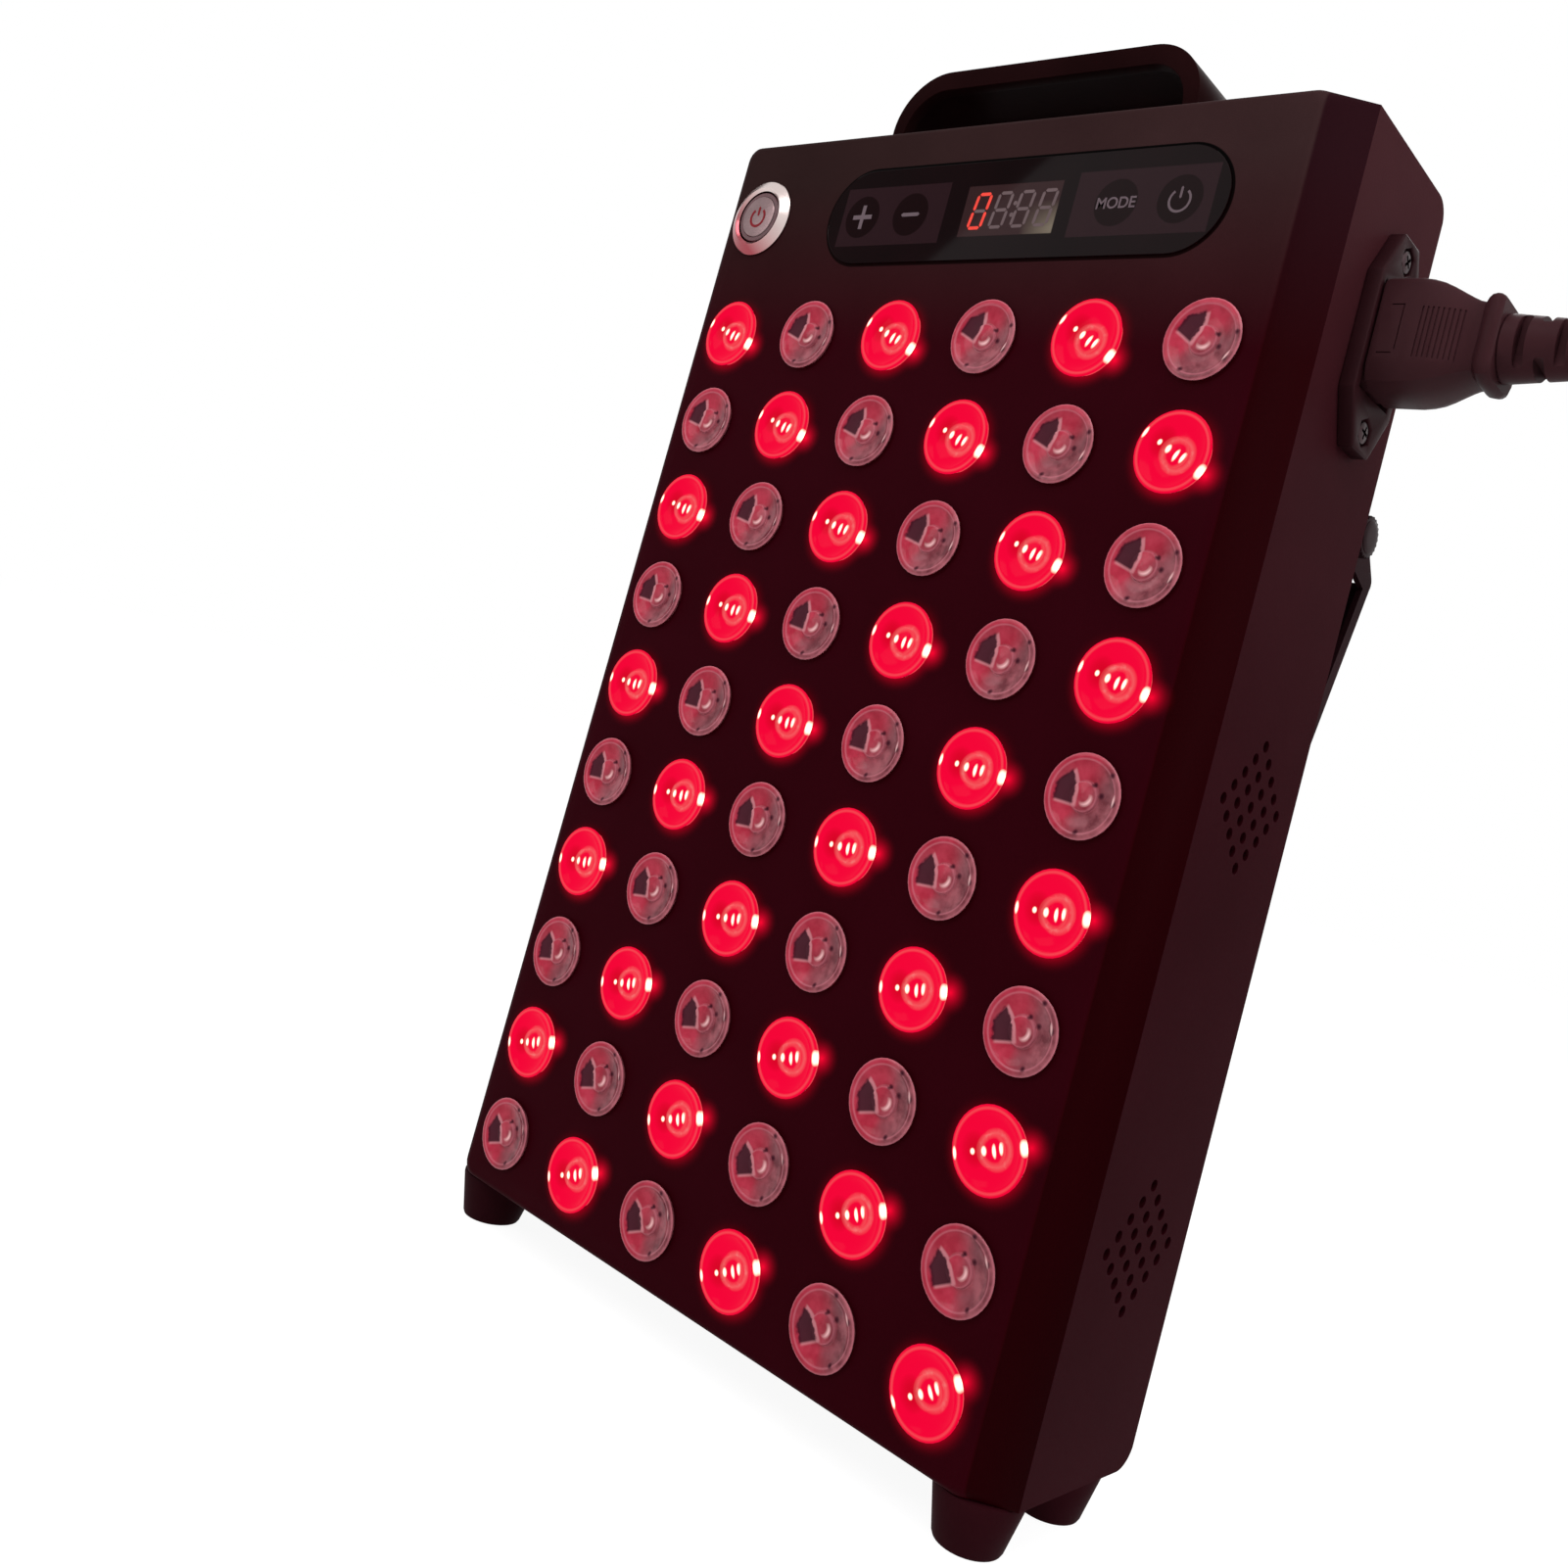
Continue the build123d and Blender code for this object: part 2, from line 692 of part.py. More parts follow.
def control_board():
    """The board behind the display and the touch keys, on two posts of the cover."""
    half_l = overlay_w / 2 + KEY_BOARD_OVERHANG
    half_h = OVERLAY_H / 2 - KEY_BOARD_MARGIN
    board = block(
        overlay_x - half_l,
        overlay_x + half_l,
        key_board_y,
        key_board_y + BOARD_T,
        overlay_z - half_h,
        overlay_z + half_h,
    )
    for side in (-1, 1):
        x = overlay_x + side * (half_l - KEY_POST_INSET)
        board = board + prism_y(x, overlay_z, STANDOFF_R, SHANK_SIDES, SHEET, key_board_y)
    return board


def button_disc(radius, y0, y1):
    """A many-sided disc on the button's axis."""
    return prism_y(button_x, button_z, radius, ROUND_SIDES, y0, y1)


bezel_bore_r = (CAP_R + MOVE_GAP) / math.cos(math.pi / ROUND_SIDES)


def button_bezel():
    """The metal bezel with its chamfered rim and threaded barrel."""
    rim = frustum_y(button_x, button_z, BEZEL_R, BEZEL_FACE_R, ROUND_SIDES, 0, -BEZEL_PROUD)
    bezel = rim + button_disc(BEZEL_BARREL_R, 0, BEZEL_BARREL_END_Y)
    return bezel - button_disc(bezel_bore_r, -BEZEL_PROUD, BEZEL_BARREL_END_Y)


def button_cap():
    """The cap that travels in the bezel, with its raised centre disc."""
    front = -BEZEL_PROUD + CAP_SET_BACK
    centre = button_disc(CAP_CENTRE_R, front, front + CAP_RECESS)
    return centre + button_disc(CAP_R, front + CAP_RECESS, front + CAP_LENGTH)


def button_nut():
    """The hexagonal nut that holds the bezel from behind the cover."""
    nut = prism_y(button_x, button_z, NUT_R, SHANK_SIDES, SHEET, SHEET + NUT_T)
    return nut - button_disc(BEZEL_BARREL_R + FIT_GAP, SHEET, SHEET + NUT_T)


def button_switch():
    """The switch body in the barrel's end, with the stop under the cap and three terminals."""
    seat_y = -BEZEL_PROUD + CAP_SET_BACK + CAP_LENGTH + CAP_TRAVEL + MOVE_GAP
    body = button_disc(bezel_bore_r - FIT_GAP, seat_y, BEZEL_BARREL_END_Y)
    body = body + prism_y(
        button_x, button_z, BEZEL_BARREL_R, HEAD_SIDES, BEZEL_BARREL_END_Y, SWITCH_END_Y
    )
    for dx in (-TERMINAL_PITCH, 0, TERMINAL_PITCH):
        body = body + block(
            button_x + dx - TERMINAL_T / 2,
            button_x + dx + TERMINAL_T / 2,
            SWITCH_END_Y,
            SWITCH_END_Y + TERMINAL_L,
            button_z - TERMINAL_W / 2,
            button_z + TERMINAL_W / 2,
        )
    return body


def inlet_outline():
    """The inlet flange's outline with its two tapered ears, as points (y, z)."""
    corners = (
        (INLET_TIP_W, INLET_TIP_H),
        (INLET_WAIST_W, INLET_WAIST_H),
        (INLET_WAIST_W, -INLET_WAIST_H),
        (INLET_TIP_W, -INLET_TIP_H),
    )
    right = [(inlet_y + dy, inlet_z + dz) for dy, dz in corners]
    left = [(inlet_y - dy, inlet_z + dz) for dy, dz in reversed(corners)]
    return right + left


def inlet_housing():
    """The moulded inlet: eared flange outside, socket body inside the casing."""
    outline = make_face(Polyline([(half_w, y, z) for y, z in inlet_outline()], close=True))
    flange = extrude(outline, INLET_PROUD, dir=(1, 0, 0))
    body = block(
        half_w - INLET_BODY_END,
        half_w,
        inlet_y - INLET_BODY_W / 2,
        inlet_y + INLET_BODY_W / 2,
        inlet_z - INLET_BODY_H / 2,
        inlet_z + INLET_BODY_H / 2,
    )
    socket = block(
        inlet_face_x - INLET_SOCKET_DEPTH,
        inlet_face_x + OVERRUN,
        inlet_y - INLET_SOCKET_W / 2,
        inlet_y + INLET_SOCKET_W / 2,
        inlet_z - INLET_SOCKET_H / 2,
        inlet_z + INLET_SOCKET_H / 2,
    )
    housing = flange + body - socket
    for z in inlet_screw_heights():
        housing = housing - prism_x(
            inlet_y, z, SCREW_R + FIT_GAP, SHANK_SIDES, half_w - OVERRUN, inlet_face_x
        )
        housing = housing - prism_x(
            inlet_y,
            z,
            SCREW_HEAD_R + FIT_GAP,
            HEAD_SIDES,
            inlet_face_x - SCREW_HEAD_H,
            inlet_face_x + OVERRUN,
        )
    for pin in pin_blocks(FIT_GAP):
        housing = housing - pin
    return housing


def pin_places():
    """The three contacts as (y, z): two in line and the earth in front of them."""
    return (
        (inlet_y + PIN_EARTH_OFFSET / 2, inlet_z - PIN_PITCH),
        (inlet_y - PIN_EARTH_OFFSET / 2, inlet_z),
        (inlet_y + PIN_EARTH_OFFSET / 2, inlet_z + PIN_PITCH),
    )


def pin_blocks(grow):
    """The contacts' bars, grown on every side by the given clearance."""
    floor_x = inlet_face_x - INLET_SOCKET_DEPTH
    bars = []
    for y, z in pin_places():
        bars.append(
            block(
                half_w - INLET_BODY_END - PIN_TAIL,
                floor_x + PIN_LENGTH + grow,
                y - PIN_H / 2 - grow,
                y + PIN_H / 2 + grow,
                z - PIN_W / 2 - grow,
                z + PIN_W / 2 + grow,
            )
        )
    return bars


def inlet_screws():
    """The two screws that hold the inlet to the casing, their heads sunk flush."""
    length = INLET_PROUD + SHEET
    return [
        Pos(inlet_face_x - SCREW_HEAD_H, inlet_y, z) * Rot(0, -90, 0) * screw(length)
        for z in inlet_screw_heights()
    ]


def power_supply():
    """The enclosed power supply on the rear wall, with a mounting foot at each side."""
    x = supply_w / 2 - SUPPLY_FOOT_W
    case = block(-x, x, supply_front_y, inner_back_y, supply_bottom_z, supply_top_z)
    edges = case.faces().sort_by(Axis.Y)[0].edges()
    case = chamfer(edges, SUPPLY_FOOT_T)
    feet = block(
        -supply_w / 2,
        supply_w / 2,
        inner_back_y - SUPPLY_FOOT_T,
        inner_back_y,
        supply_bottom_z,
        supply_top_z,
    )
    return case + feet


def supply_screws():
    """Four screws in the supply's mounting feet."""
    screws = []
    for side in (-1, 1):
        for end in (-1, 1):
            x = side * (supply_w - SUPPLY_FOOT_W) / 2
            z = supply_bottom_z + SUPPLY_H / 2 + end * (SUPPLY_H / 2 - SUPPLY_FOOT_W)
            y = inner_back_y - SUPPLY_FOOT_T
            screws.append(prism_y(x, z, SCREW_HEAD_R, HEAD_SIDES, y - SCREW_HEAD_H, y))
    return screws


fan_front_y = inner_back_y - FAN_D
hub_plate_y = inner_back_y - FAN_HUB_PLATE_T


def fan_frame(z):
    """One fan's square frame: bore, hub plate with the bearing, and four struts."""
    outline = chamfer(Rectangle(FAN_SIZE, FAN_SIZE).vertices(), FAN_CORNER)
    outline = outline - RegularPolygon(fan_bore_r, ROUND_SIDES)
    frame = Pos(0, inner_back_y, z) * Rot(90, 0, 0) * extrude(outline, FAN_D)
    plate = Sketch() + RegularPolygon(FAN_HUB_R, FAN_SIDES)
    for angle in (45, 135):
        plate = plate + Rot(0, 0, angle) * Rectangle(2 * fan_bore_r + FAN_STRUT_W, FAN_STRUT_W)
    plate = plate - Circle(FAN_SHAFT_R + RUN_GAP)
    return frame + Pos(0, inner_back_y, z) * Rot(90, 0, 0) * extrude(plate, FAN_HUB_PLATE_T)


def blade_plate(root_r):
    """One fan blade, flat along X from its root and wider towards its tip."""
    length = blade_tip_r - root_r
    root = BLADE_ROOT_CHORD / 2
    tip = BLADE_CHORD / 2
    outline = Polyline([(0, -root), (length, -tip), (length, tip), (0, root)], close=True)
    plate = extrude(make_face(outline), BLADE_T)
    return Rot(90, 0, 0) * Pos(0, 0, -BLADE_T / 2) * plate


def fan_rotor(z):
    """One fan's rotor: hub, shaft and pitched blades."""
    back_y = hub_plate_y - MOVE_GAP
    rotor = prism_y(0, 0, FAN_HUB_R, FAN_SIDES, back_y - FAN_ROTOR_D, back_y)
    rotor = rotor + bar_y(0, 0, FAN_SHAFT_R, back_y, inner_back_y - MOVE_GAP)
    root_r = FAN_HUB_R - BLADE_ROOT_SINK
    middle_y = back_y - FAN_ROTOR_D / 2
    blade = Pos(root_r, middle_y, 0) * Rot(BLADE_PITCH_DEG, 0, 0) * blade_plate(root_r)
    for i in range(FAN_BLADES):
        rotor = rotor + Rot(0, 360 * i / FAN_BLADES, 0) * blade
    return Pos(0, 0, z) * rotor


def fan_screws():
    """Four screws for each fan, through the rear wall from outside."""
    inset = FAN_SIZE / 2 - SCREW_HEAD_R
    screws = []
    for centre_z in fan_centres:
        for sx in (-1, 1):
            for sz in (-1, 1):
                x = sx * inset
                z = centre_z + sz * inset
                screws.append(
                    prism_y(x, z, SCREW_HEAD_R, HEAD_SIDES, case_d, case_d + SCREW_HEAD_H)
                )
    return screws


low_rear_y = stand_low_front_y + STAND_FLANGE_D
knee_rise = stand_ear_bottom_z - stand_knee_z
ear_rear_y = low_rear_y + knee_rise * math.tan(stand_lean)


def stand_band(thickness):
    """The side outline of the leg's band, straight below the knee and leaning back above."""
    lean_y = knee_rise * math.tan(stand_lean)
    shift = thickness * math.tan(stand_lean / 2)
    points = [
        (low_rear_y, STAND_BOTTOM_Z),
        (low_rear_y, stand_knee_z),
        (low_rear_y + lean_y, stand_ear_bottom_z),
        (low_rear_y + lean_y - thickness / math.cos(stand_lean), stand_ear_bottom_z),
        (low_rear_y - thickness, stand_knee_z + shift),
        (low_rear_y - thickness, STAND_BOTTOM_Z),
    ]
    return points


def side_plate(points, x0, x1):
    """A plate between x0 and x1 from an outline of points (y, z)."""
    outline = make_face(Polyline([(x0, y, z) for y, z in points], close=True))
    return extrude(outline, x1 - x0, dir=(1, 0, 0))


def hulled_ear(circles, x0, x1):
    """A plate between x0 and x1 whose outline wraps circles given as (y, z, radius)."""
    arcs = []
    for y, z, radius in circles:
        arcs = arcs + [Pos(-z, y) * CenterArc((0, 0), radius, 0, 360)]
    outline = make_hull([edge for arc in arcs for edge in arc.edges()])
    return Pos(x0, 0, 0) * Rot(0, 90, 0) * extrude(outline, x1 - x0)


def stand_frame():
    """The folded leg: a window frame of sheet with side flanges that end in pivot ears."""
    outer = stand_half_w
    web = side_plate(stand_band(STAND_T), -outer, outer)
    window_half = outer - STAND_LEG_W
    window = block(
        -window_half,
        window_half,
        stand_low_front_y - OVERRUN,
        ear_rear_y + OVERRUN,
        STAND_BOTTOM_Z + STAND_CROSS_H,
        stand_knee_z,
    )
    web = web - window
    corner_y = ear_rear_y - STAND_CORNER_R
    ear_circles = (
        (hinge_y, hinge_z, STAND_EAR_R),
        (corner_y, stand_ear_bottom_z, STAND_CORNER_R),
    )
    ear = hulled_ear(ear_circles, outer - STAND_T, outer)
    flange = side_plate(stand_band(STAND_FLANGE_D), outer - STAND_T, outer) + ear
    flange = flange - bar_x(
        hinge_y, hinge_z, PIVOT_R + RUN_GAP, outer - STAND_T - OVERRUN, outer + OVERRUN
    )
    return web + both_sides(flange)


def stand_pads():
    """Two rubber pads under the leg's far end."""
    pads = []
    for side in (-1, 1):
        x0 = side * (stand_half_w - STAND_PAD_INSET - STAND_PAD_W)
        x1 = side * (stand_half_w - STAND_PAD_INSET)
        pads.append(
            block(
                x0,
                x1,
                low_rear_y - STAND_FLANGE_D,
                low_rear_y,
                STAND_BOTTOM_Z - STAND_PAD_H,
                STAND_BOTTOM_Z,
            )
        )
    return pads


bracket_x1 = stand_half_w - STAND_T - MOVE_GAP
bracket_x0 = bracket_x1 - STAND_T


def right_bracket():
    """The right-hand fixed bracket: a foot on the casing's back and an ear for the pivot."""
    foot_plate = block(
        bracket_x1 - BRACKET_FOOT_W,
        bracket_x1,
        case_d,
        case_d + STAND_T,
        hinge_z - BRACKET_H / 2,
        hinge_z + BRACKET_H / 2,
    )
    half_h = BRACKET_H / 2
    wedge = [
        (case_d, hinge_z - half_h),
        (hinge_y, hinge_z - BRACKET_EAR_R),
        (hinge_y, hinge_z + BRACKET_EAR_R),
        (case_d, hinge_z + half_h),
    ]
    ear = side_plate(wedge, bracket_x0, bracket_x1)
    ear = ear + prism_x(hinge_y, hinge_z, BRACKET_EAR_R, ROUND_SIDES, bracket_x0, bracket_x1)
    bracket = foot_plate + ear
    return bracket - bar_x(
        hinge_y, hinge_z, PIVOT_R + RUN_GAP, bracket_x0 - OVERRUN, bracket_x1 + OVERRUN
    )


def right_bracket_screws():
    """Two screws in the bracket's foot."""
    x = bracket_x1 - BRACKET_FOOT_W / 2 - STAND_T
    y = case_d + STAND_T
    half = BRACKET_SCREW_SPREAD / 2
    return [
        prism_y(x, hinge_z + dz, SCREW_R, HEAD_SIDES, y, y + STAND_T) for dz in (-half, half)
    ]


def right_pivot_nut():
    """The nut welded inside the bracket's ear."""
    x1 = bracket_x0
    x0 = bracket_x0 - PIVOT_NUT_T
    nut = prism_x(hinge_y, hinge_z, PIVOT_NUT_R, SHANK_SIDES, x0, x1)
    return nut - bar_x(hinge_y, hinge_z, PIVOT_R + RUN_GAP, x0 - OVERRUN, x1 + OVERRUN)


def right_thumb_screw():
    """The ridged thumb screw at the stand's hinge, which is also its pivot."""
    x0 = stand_half_w + MOVE_GAP
    points = []
    for i in range(2 * KNOB_RIDGES):
        radius = KNOB_R * (1 if i % 2 == 0 else KNOB_RIDGE_SHARE)
        angle = math.pi * i / KNOB_RIDGES
        points.append((hinge_y + radius * math.cos(angle), hinge_z + radius * math.sin(angle)))
    head = side_plate(points, x0, x0 + KNOB_T)
    dome = prism_x(hinge_y, hinge_z, KNOB_DOME_R, KNOB_RIDGES, x0 + KNOB_T, x0 + KNOB_T + KNOB_DOME_T)
    shank_end = bracket_x0 - PIVOT_NUT_T - MOVE_GAP
    return head + dome + bar_x(hinge_y, hinge_z, PIVOT_R, shank_end, x0)


def tapered_block(x0, x1, start, end, corner):
    """A block along X from a (width, height) to another, with its long edges cut off."""
    half_w0, half_h0 = start[0] / 2, start[1] / 2
    half_w1, half_h1 = end[0] / 2, end[1] / 2
    tall = max(half_h0, half_h1)
    wide = max(half_w0, half_w1)
    plan = make_face(
        Polyline([(x0, -half_w0), (x1, -half_w1), (x1, half_w1), (x0, half_w0)], close=True)
    )
    side = make_face(
        Polyline(
            [(x0, 0, -half_h0), (x1, 0, -half_h1), (x1, 0, half_h1), (x0, 0, half_h0)], close=True
        )
    )
    body = Pos(0, 0, -tall) * extrude(plan, 2 * tall)
    body = body & extrude(side, wide, dir=(0, 1, 0), both=True)
    long_edges = [e for e in body.edges() if abs(e.tangent_at(0).X) > abs(x1 - x0) / e.length / 2]
    return chamfer(long_edges, corner)


def mains_connector():
    """The connector in the inlet: nose, body that tapers to a neck, and end collar."""
    x0 = inlet_face_x + MOVE_GAP
    x1 = x0 + PLUG_BODY
    x2 = x1 + PLUG_TAPER
    x3 = x2 + COLLAR_T
    nose_x = inlet_face_x - INLET_SOCKET_DEPTH + MOVE_GAP
    nose = (INLET_SOCKET_W - 2 * FIT_GAP, INLET_SOCKET_H - 2 * FIT_GAP)
    full = (PLUG_W, PLUG_H)
    collar = (COLLAR_W, COLLAR_H)
    connector = tapered_block(nose_x, x0, nose, nose, PLUG_CORNER)
    connector = connector + tapered_block(x0, x1, full, full, PLUG_CORNER)
    connector = connector + tapered_block(x1, x2, full, (NECK_W, NECK_H), PLUG_CORNER)
    connector = connector + tapered_block(x2, x3, collar, collar, COLLAR_CORNER)
    connector = Pos(0, inlet_y, inlet_z) * connector
    for pin in pin_blocks(FIT_GAP):
        connector = connector - pin
    return connector


def strain_relief(length, slots):
    """A strain relief along +X from the origin, with staggered slots across it."""
    cone = Rot(0, 90, 0) * frustum(RELIEF_R, RELIEF_END_R, RELIEF_SIDES, length)
    core = CORD_D / 2 + CORD_SPACE
    for i in range(slots):
        x = RELIEF_SLOT_PITCH * (i + 1)
        for side in (-1, 1):
            away = side * (core + RELIEF_R)
            if i % 2 == 0:
                cut = Pos(x, away, 0) * Box(RELIEF_SLOT_W, 2 * RELIEF_R, 2 * RELIEF_R)
            else:
                cut = Pos(x, 0, away) * Box(RELIEF_SLOT_W, 2 * RELIEF_R, 2 * RELIEF_R)
            cone = cone - cut
    return cone


def connector_strain_relief():
    """The slotted strain relief behind the connector's collar."""
    start = Pos(exit_x - RELIEF_LENGTH, inlet_y, inlet_z)
    return start * strain_relief(RELIEF_LENGTH, RELIEF_SLOTS)


def strain_relief_reversed():
    """The mains plug's strain relief along +X, narrow end first."""
    relief = strain_relief(WALL_RELIEF_LENGTH, WALL_RELIEF_SLOTS)
    return Pos(WALL_RELIEF_LENGTH, 0, 0) * Rot(0, 0, 180) * relief


def wall_plug():
    """The mains plug's moulded body along +X from the origin, resting on its flat side."""
    neck = (2 * RELIEF_R, 2 * RELIEF_R)
    full = (WALL_PLUG_W, WALL_PLUG_H)
    end = WALL_PLUG_TAPER + WALL_PLUG_L
    body = tapered_block(0, WALL_PLUG_TAPER, neck, full, WALL_PLUG_CORNER)
    return body + tapered_block(WALL_PLUG_TAPER, end, full, full, WALL_PLUG_CORNER)


def wall_plug_contacts():
    """The plug's two flat blades and its round earth pin, beyond its face."""
    face_x = WALL_PLUG_TAPER + WALL_PLUG_L
    blades = []
    for side in (-1, 1):
        y = side * BLADE_GAP / 2
        blades.append(
            block(
                face_x,
                face_x + PLUG_BLADE_L,
                y - PLUG_BLADE_T / 2,
                y + PLUG_BLADE_T / 2,
                PLUG_BLADE_RISE - PLUG_BLADE_W / 2,
                PLUG_BLADE_RISE + PLUG_BLADE_W / 2,
            )
        )
    pin_z = PLUG_BLADE_RISE - PLUG_PIN_DROP
    return blades + [prism_x(0, pin_z, PLUG_PIN_R, KEY_SIDES, face_x, face_x + PLUG_PIN_L)]


def cord_radii(points):
    """The largest arc that each corner of the route has room for."""
    runs = [b - a for a, b in zip(points, points[1:])]
    radii = []
    for first, second in zip(runs, runs[1:]):
        turn = math.radians(first.get_angle(second))
        radii.append(CORD_ARC_SHARE * min(first.length, second.length) / math.tan(turn / 2))
    return radii


def cord_section(point, direction):
    """The cord's section: a square of the round cord's area, across its direction."""
    side = Vector(0, 0, 1).cross(direction)
    return Plane(origin=point, x_dir=side, z_dir=direction) * Rectangle(cord_side, cord_side)


def cord_route():
    """The free cord's points, moved with the inlet and stretched by its height."""
    first = CORD_POINTS[0]
    points = [
        Vector(x + exit_x - first[0], y + inlet_y - first[1], z * inlet_z / first[2])
        for x, y, z in CORD_POINTS
    ]
    points[-1] = coil_station(0)
    points[-2] = coil_station(0) - coil_direction(0) * LAST_RUN
    return points


def cord_lead():
    """The free stretch from the strain relief down to the coil, on tangent arcs."""
    points = cord_route()
    radii = cord_radii(points)
    path = FilletPolyline(*points, radius=radii)
    print("cord arcs:", [round(r, 1) for r in radii])
    section = cord_section(points[0], points[1] - points[0])
    tube = sweep(section, path)
    print("cord volume share:", round(tube.volume / (section.area * path.length), 4))
    print("cord length:", round(path.length, 1))
    return tube


cord_side = CORD_D * math.sqrt(math.pi) / 2
coil_pitch = CORD_D + CORD_SPACE
coil_floor = TIE_T + FIT_GAP
coil_total = COIL_TURNS + COIL_CLIMB
coil_r = COIL_DIAMETERS / 2 * CORD_D + coil_total / 2 * coil_pitch
coil_x = CORD_POINTS[-1][0] + exit_x - CORD_POINTS[0][0] + coil_r
coil_y = CORD_POINTS[-1][1] + inlet_y - CORD_POINTS[0][1]
coil_lift = (cord_side + WALL_PLUG_H) / 2 + MOVE_GAP


def coil_station(turn):
    """A point of the coil after so many turns: inwards in one layer, then up onto it."""
    climb = max((turn - COIL_TURNS) / COIL_CLIMB, 0)
    rise = climb * climb * (3 - 2 * climb) * coil_lift
    radius = coil_r - coil_pitch * turn
    angle = math.pi - 2 * math.pi * turn
    return Vector(
        coil_x + radius * math.cos(angle),
        coil_y + radius * math.sin(angle),
        coil_floor + cord_side / 2 + rise,
    )


def coil_direction(turn):
    """The coil's direction at a station, from two points close by."""
    low = max(turn - STATION_SHARE, 0)
    high = min(turn + STATION_SHARE, coil_total)
    return (coil_station(high) - coil_station(low)).normalized()


def biarc(start, start_dir, end, end_dir):
    """Two tangent arcs from one point and direction to another."""
    chord = end - start
    both = start_dir + end_dir
    a = 2 * (1 - start_dir.dot(end_dir))
    b = chord.dot(both)
    reach = (math.sqrt(b * b + a * chord.dot(chord)) - b) / a
    joint = (start + end + (start_dir - end_dir) * reach) * 0.5
    first = TangentArc(start, joint, tangent=start_dir)
    second = TangentArc(joint, end, tangent=first % 1)
    return [first, second]


def cord_coil():
    """The stored cord: level turns that spiral in, and a last half turn that climbs over them."""
    arcs = []
    level_steps = math.ceil(COIL_TURNS / QUARTER_SHARE)
    climb_steps = math.ceil(COIL_CLIMB / QUARTER_SHARE)
    turns = [COIL_TURNS * i / level_steps for i in range(level_steps)]
    turns = turns + [COIL_TURNS + COIL_CLIMB * i / climb_steps for i in range(climb_steps + 1)]
    for here, there in zip(turns, turns[1:]):
        arcs = arcs + biarc(
            coil_station(here), coil_direction(here), coil_station(there), coil_direction(there)
        )
    path = Wire(arcs)
    section = cord_section(coil_station(0), coil_direction(0))
    coil = sweep(section, path)
    print("coil volume share:", round(coil.volume / (section.area * path.length), 4))
    print("coil length:", round(path.length, 1))
    print("coil least gap:", round(coil_least_gap(), 2))
    return coil


def coil_least_gap():
    """The least gap of the coil to itself, measured on points along its middle line."""
    points = [coil_station(coil_total * i / GAP_POINTS) for i in range(GAP_POINTS + 1)]
    half_turn = int(GAP_POINTS / coil_total / 2)
    least = case_h
    for i, point in enumerate(points):
        for other in points[i + half_turn :]:
            least = min(least, (point - other).length)
    return least - CORD_D


def cord_tie():
    """The strap round the coil's level turns, at its rear."""
    inner_r = coil_r - TIED_TURNS * coil_pitch - CORD_D / 2 - TIE_GAP
    outer_r = coil_r - QUARTER_SHARE * coil_pitch + CORD_D / 2 + TIE_GAP
    top = coil_floor + cord_side + TIE_GAP
    x0 = coil_x - TIE_W / 2
    x1 = coil_x + TIE_W / 2
    strap = block(x0, x1, coil_y + inner_r - TIE_T, coil_y + outer_r + TIE_T, 0, top + TIE_T)
    return strap - block(x0, x1, coil_y + inner_r, coil_y + outer_r, TIE_T, top)


def at_coil_end(piece):
    """Puts a piece made along +X on the coil's end, running on in its direction."""
    end = Plane(origin=coil_station(coil_total), x_dir=coil_direction(coil_total), z_dir=(0, 0, 1))
    return end.location * piece


def export(node, piece):
    """Moves a finished piece to the part's frame and writes it as its own file."""
    items = piece if isinstance(piece, list) else [piece]
    solids = [solid for item in items for solid in item.solids()]
    shape = solids[0] if len(solids) == 1 else Compound(children=solids)
    centre_x = INLET_PROUD / 2
    centre_y = (ear_rear_y - BEZEL_PROUD) / 2
    shape = shape.moved(Location((-centre_x, -centre_y, 0)))
    export_step(shape, f"parts/{node}.step")


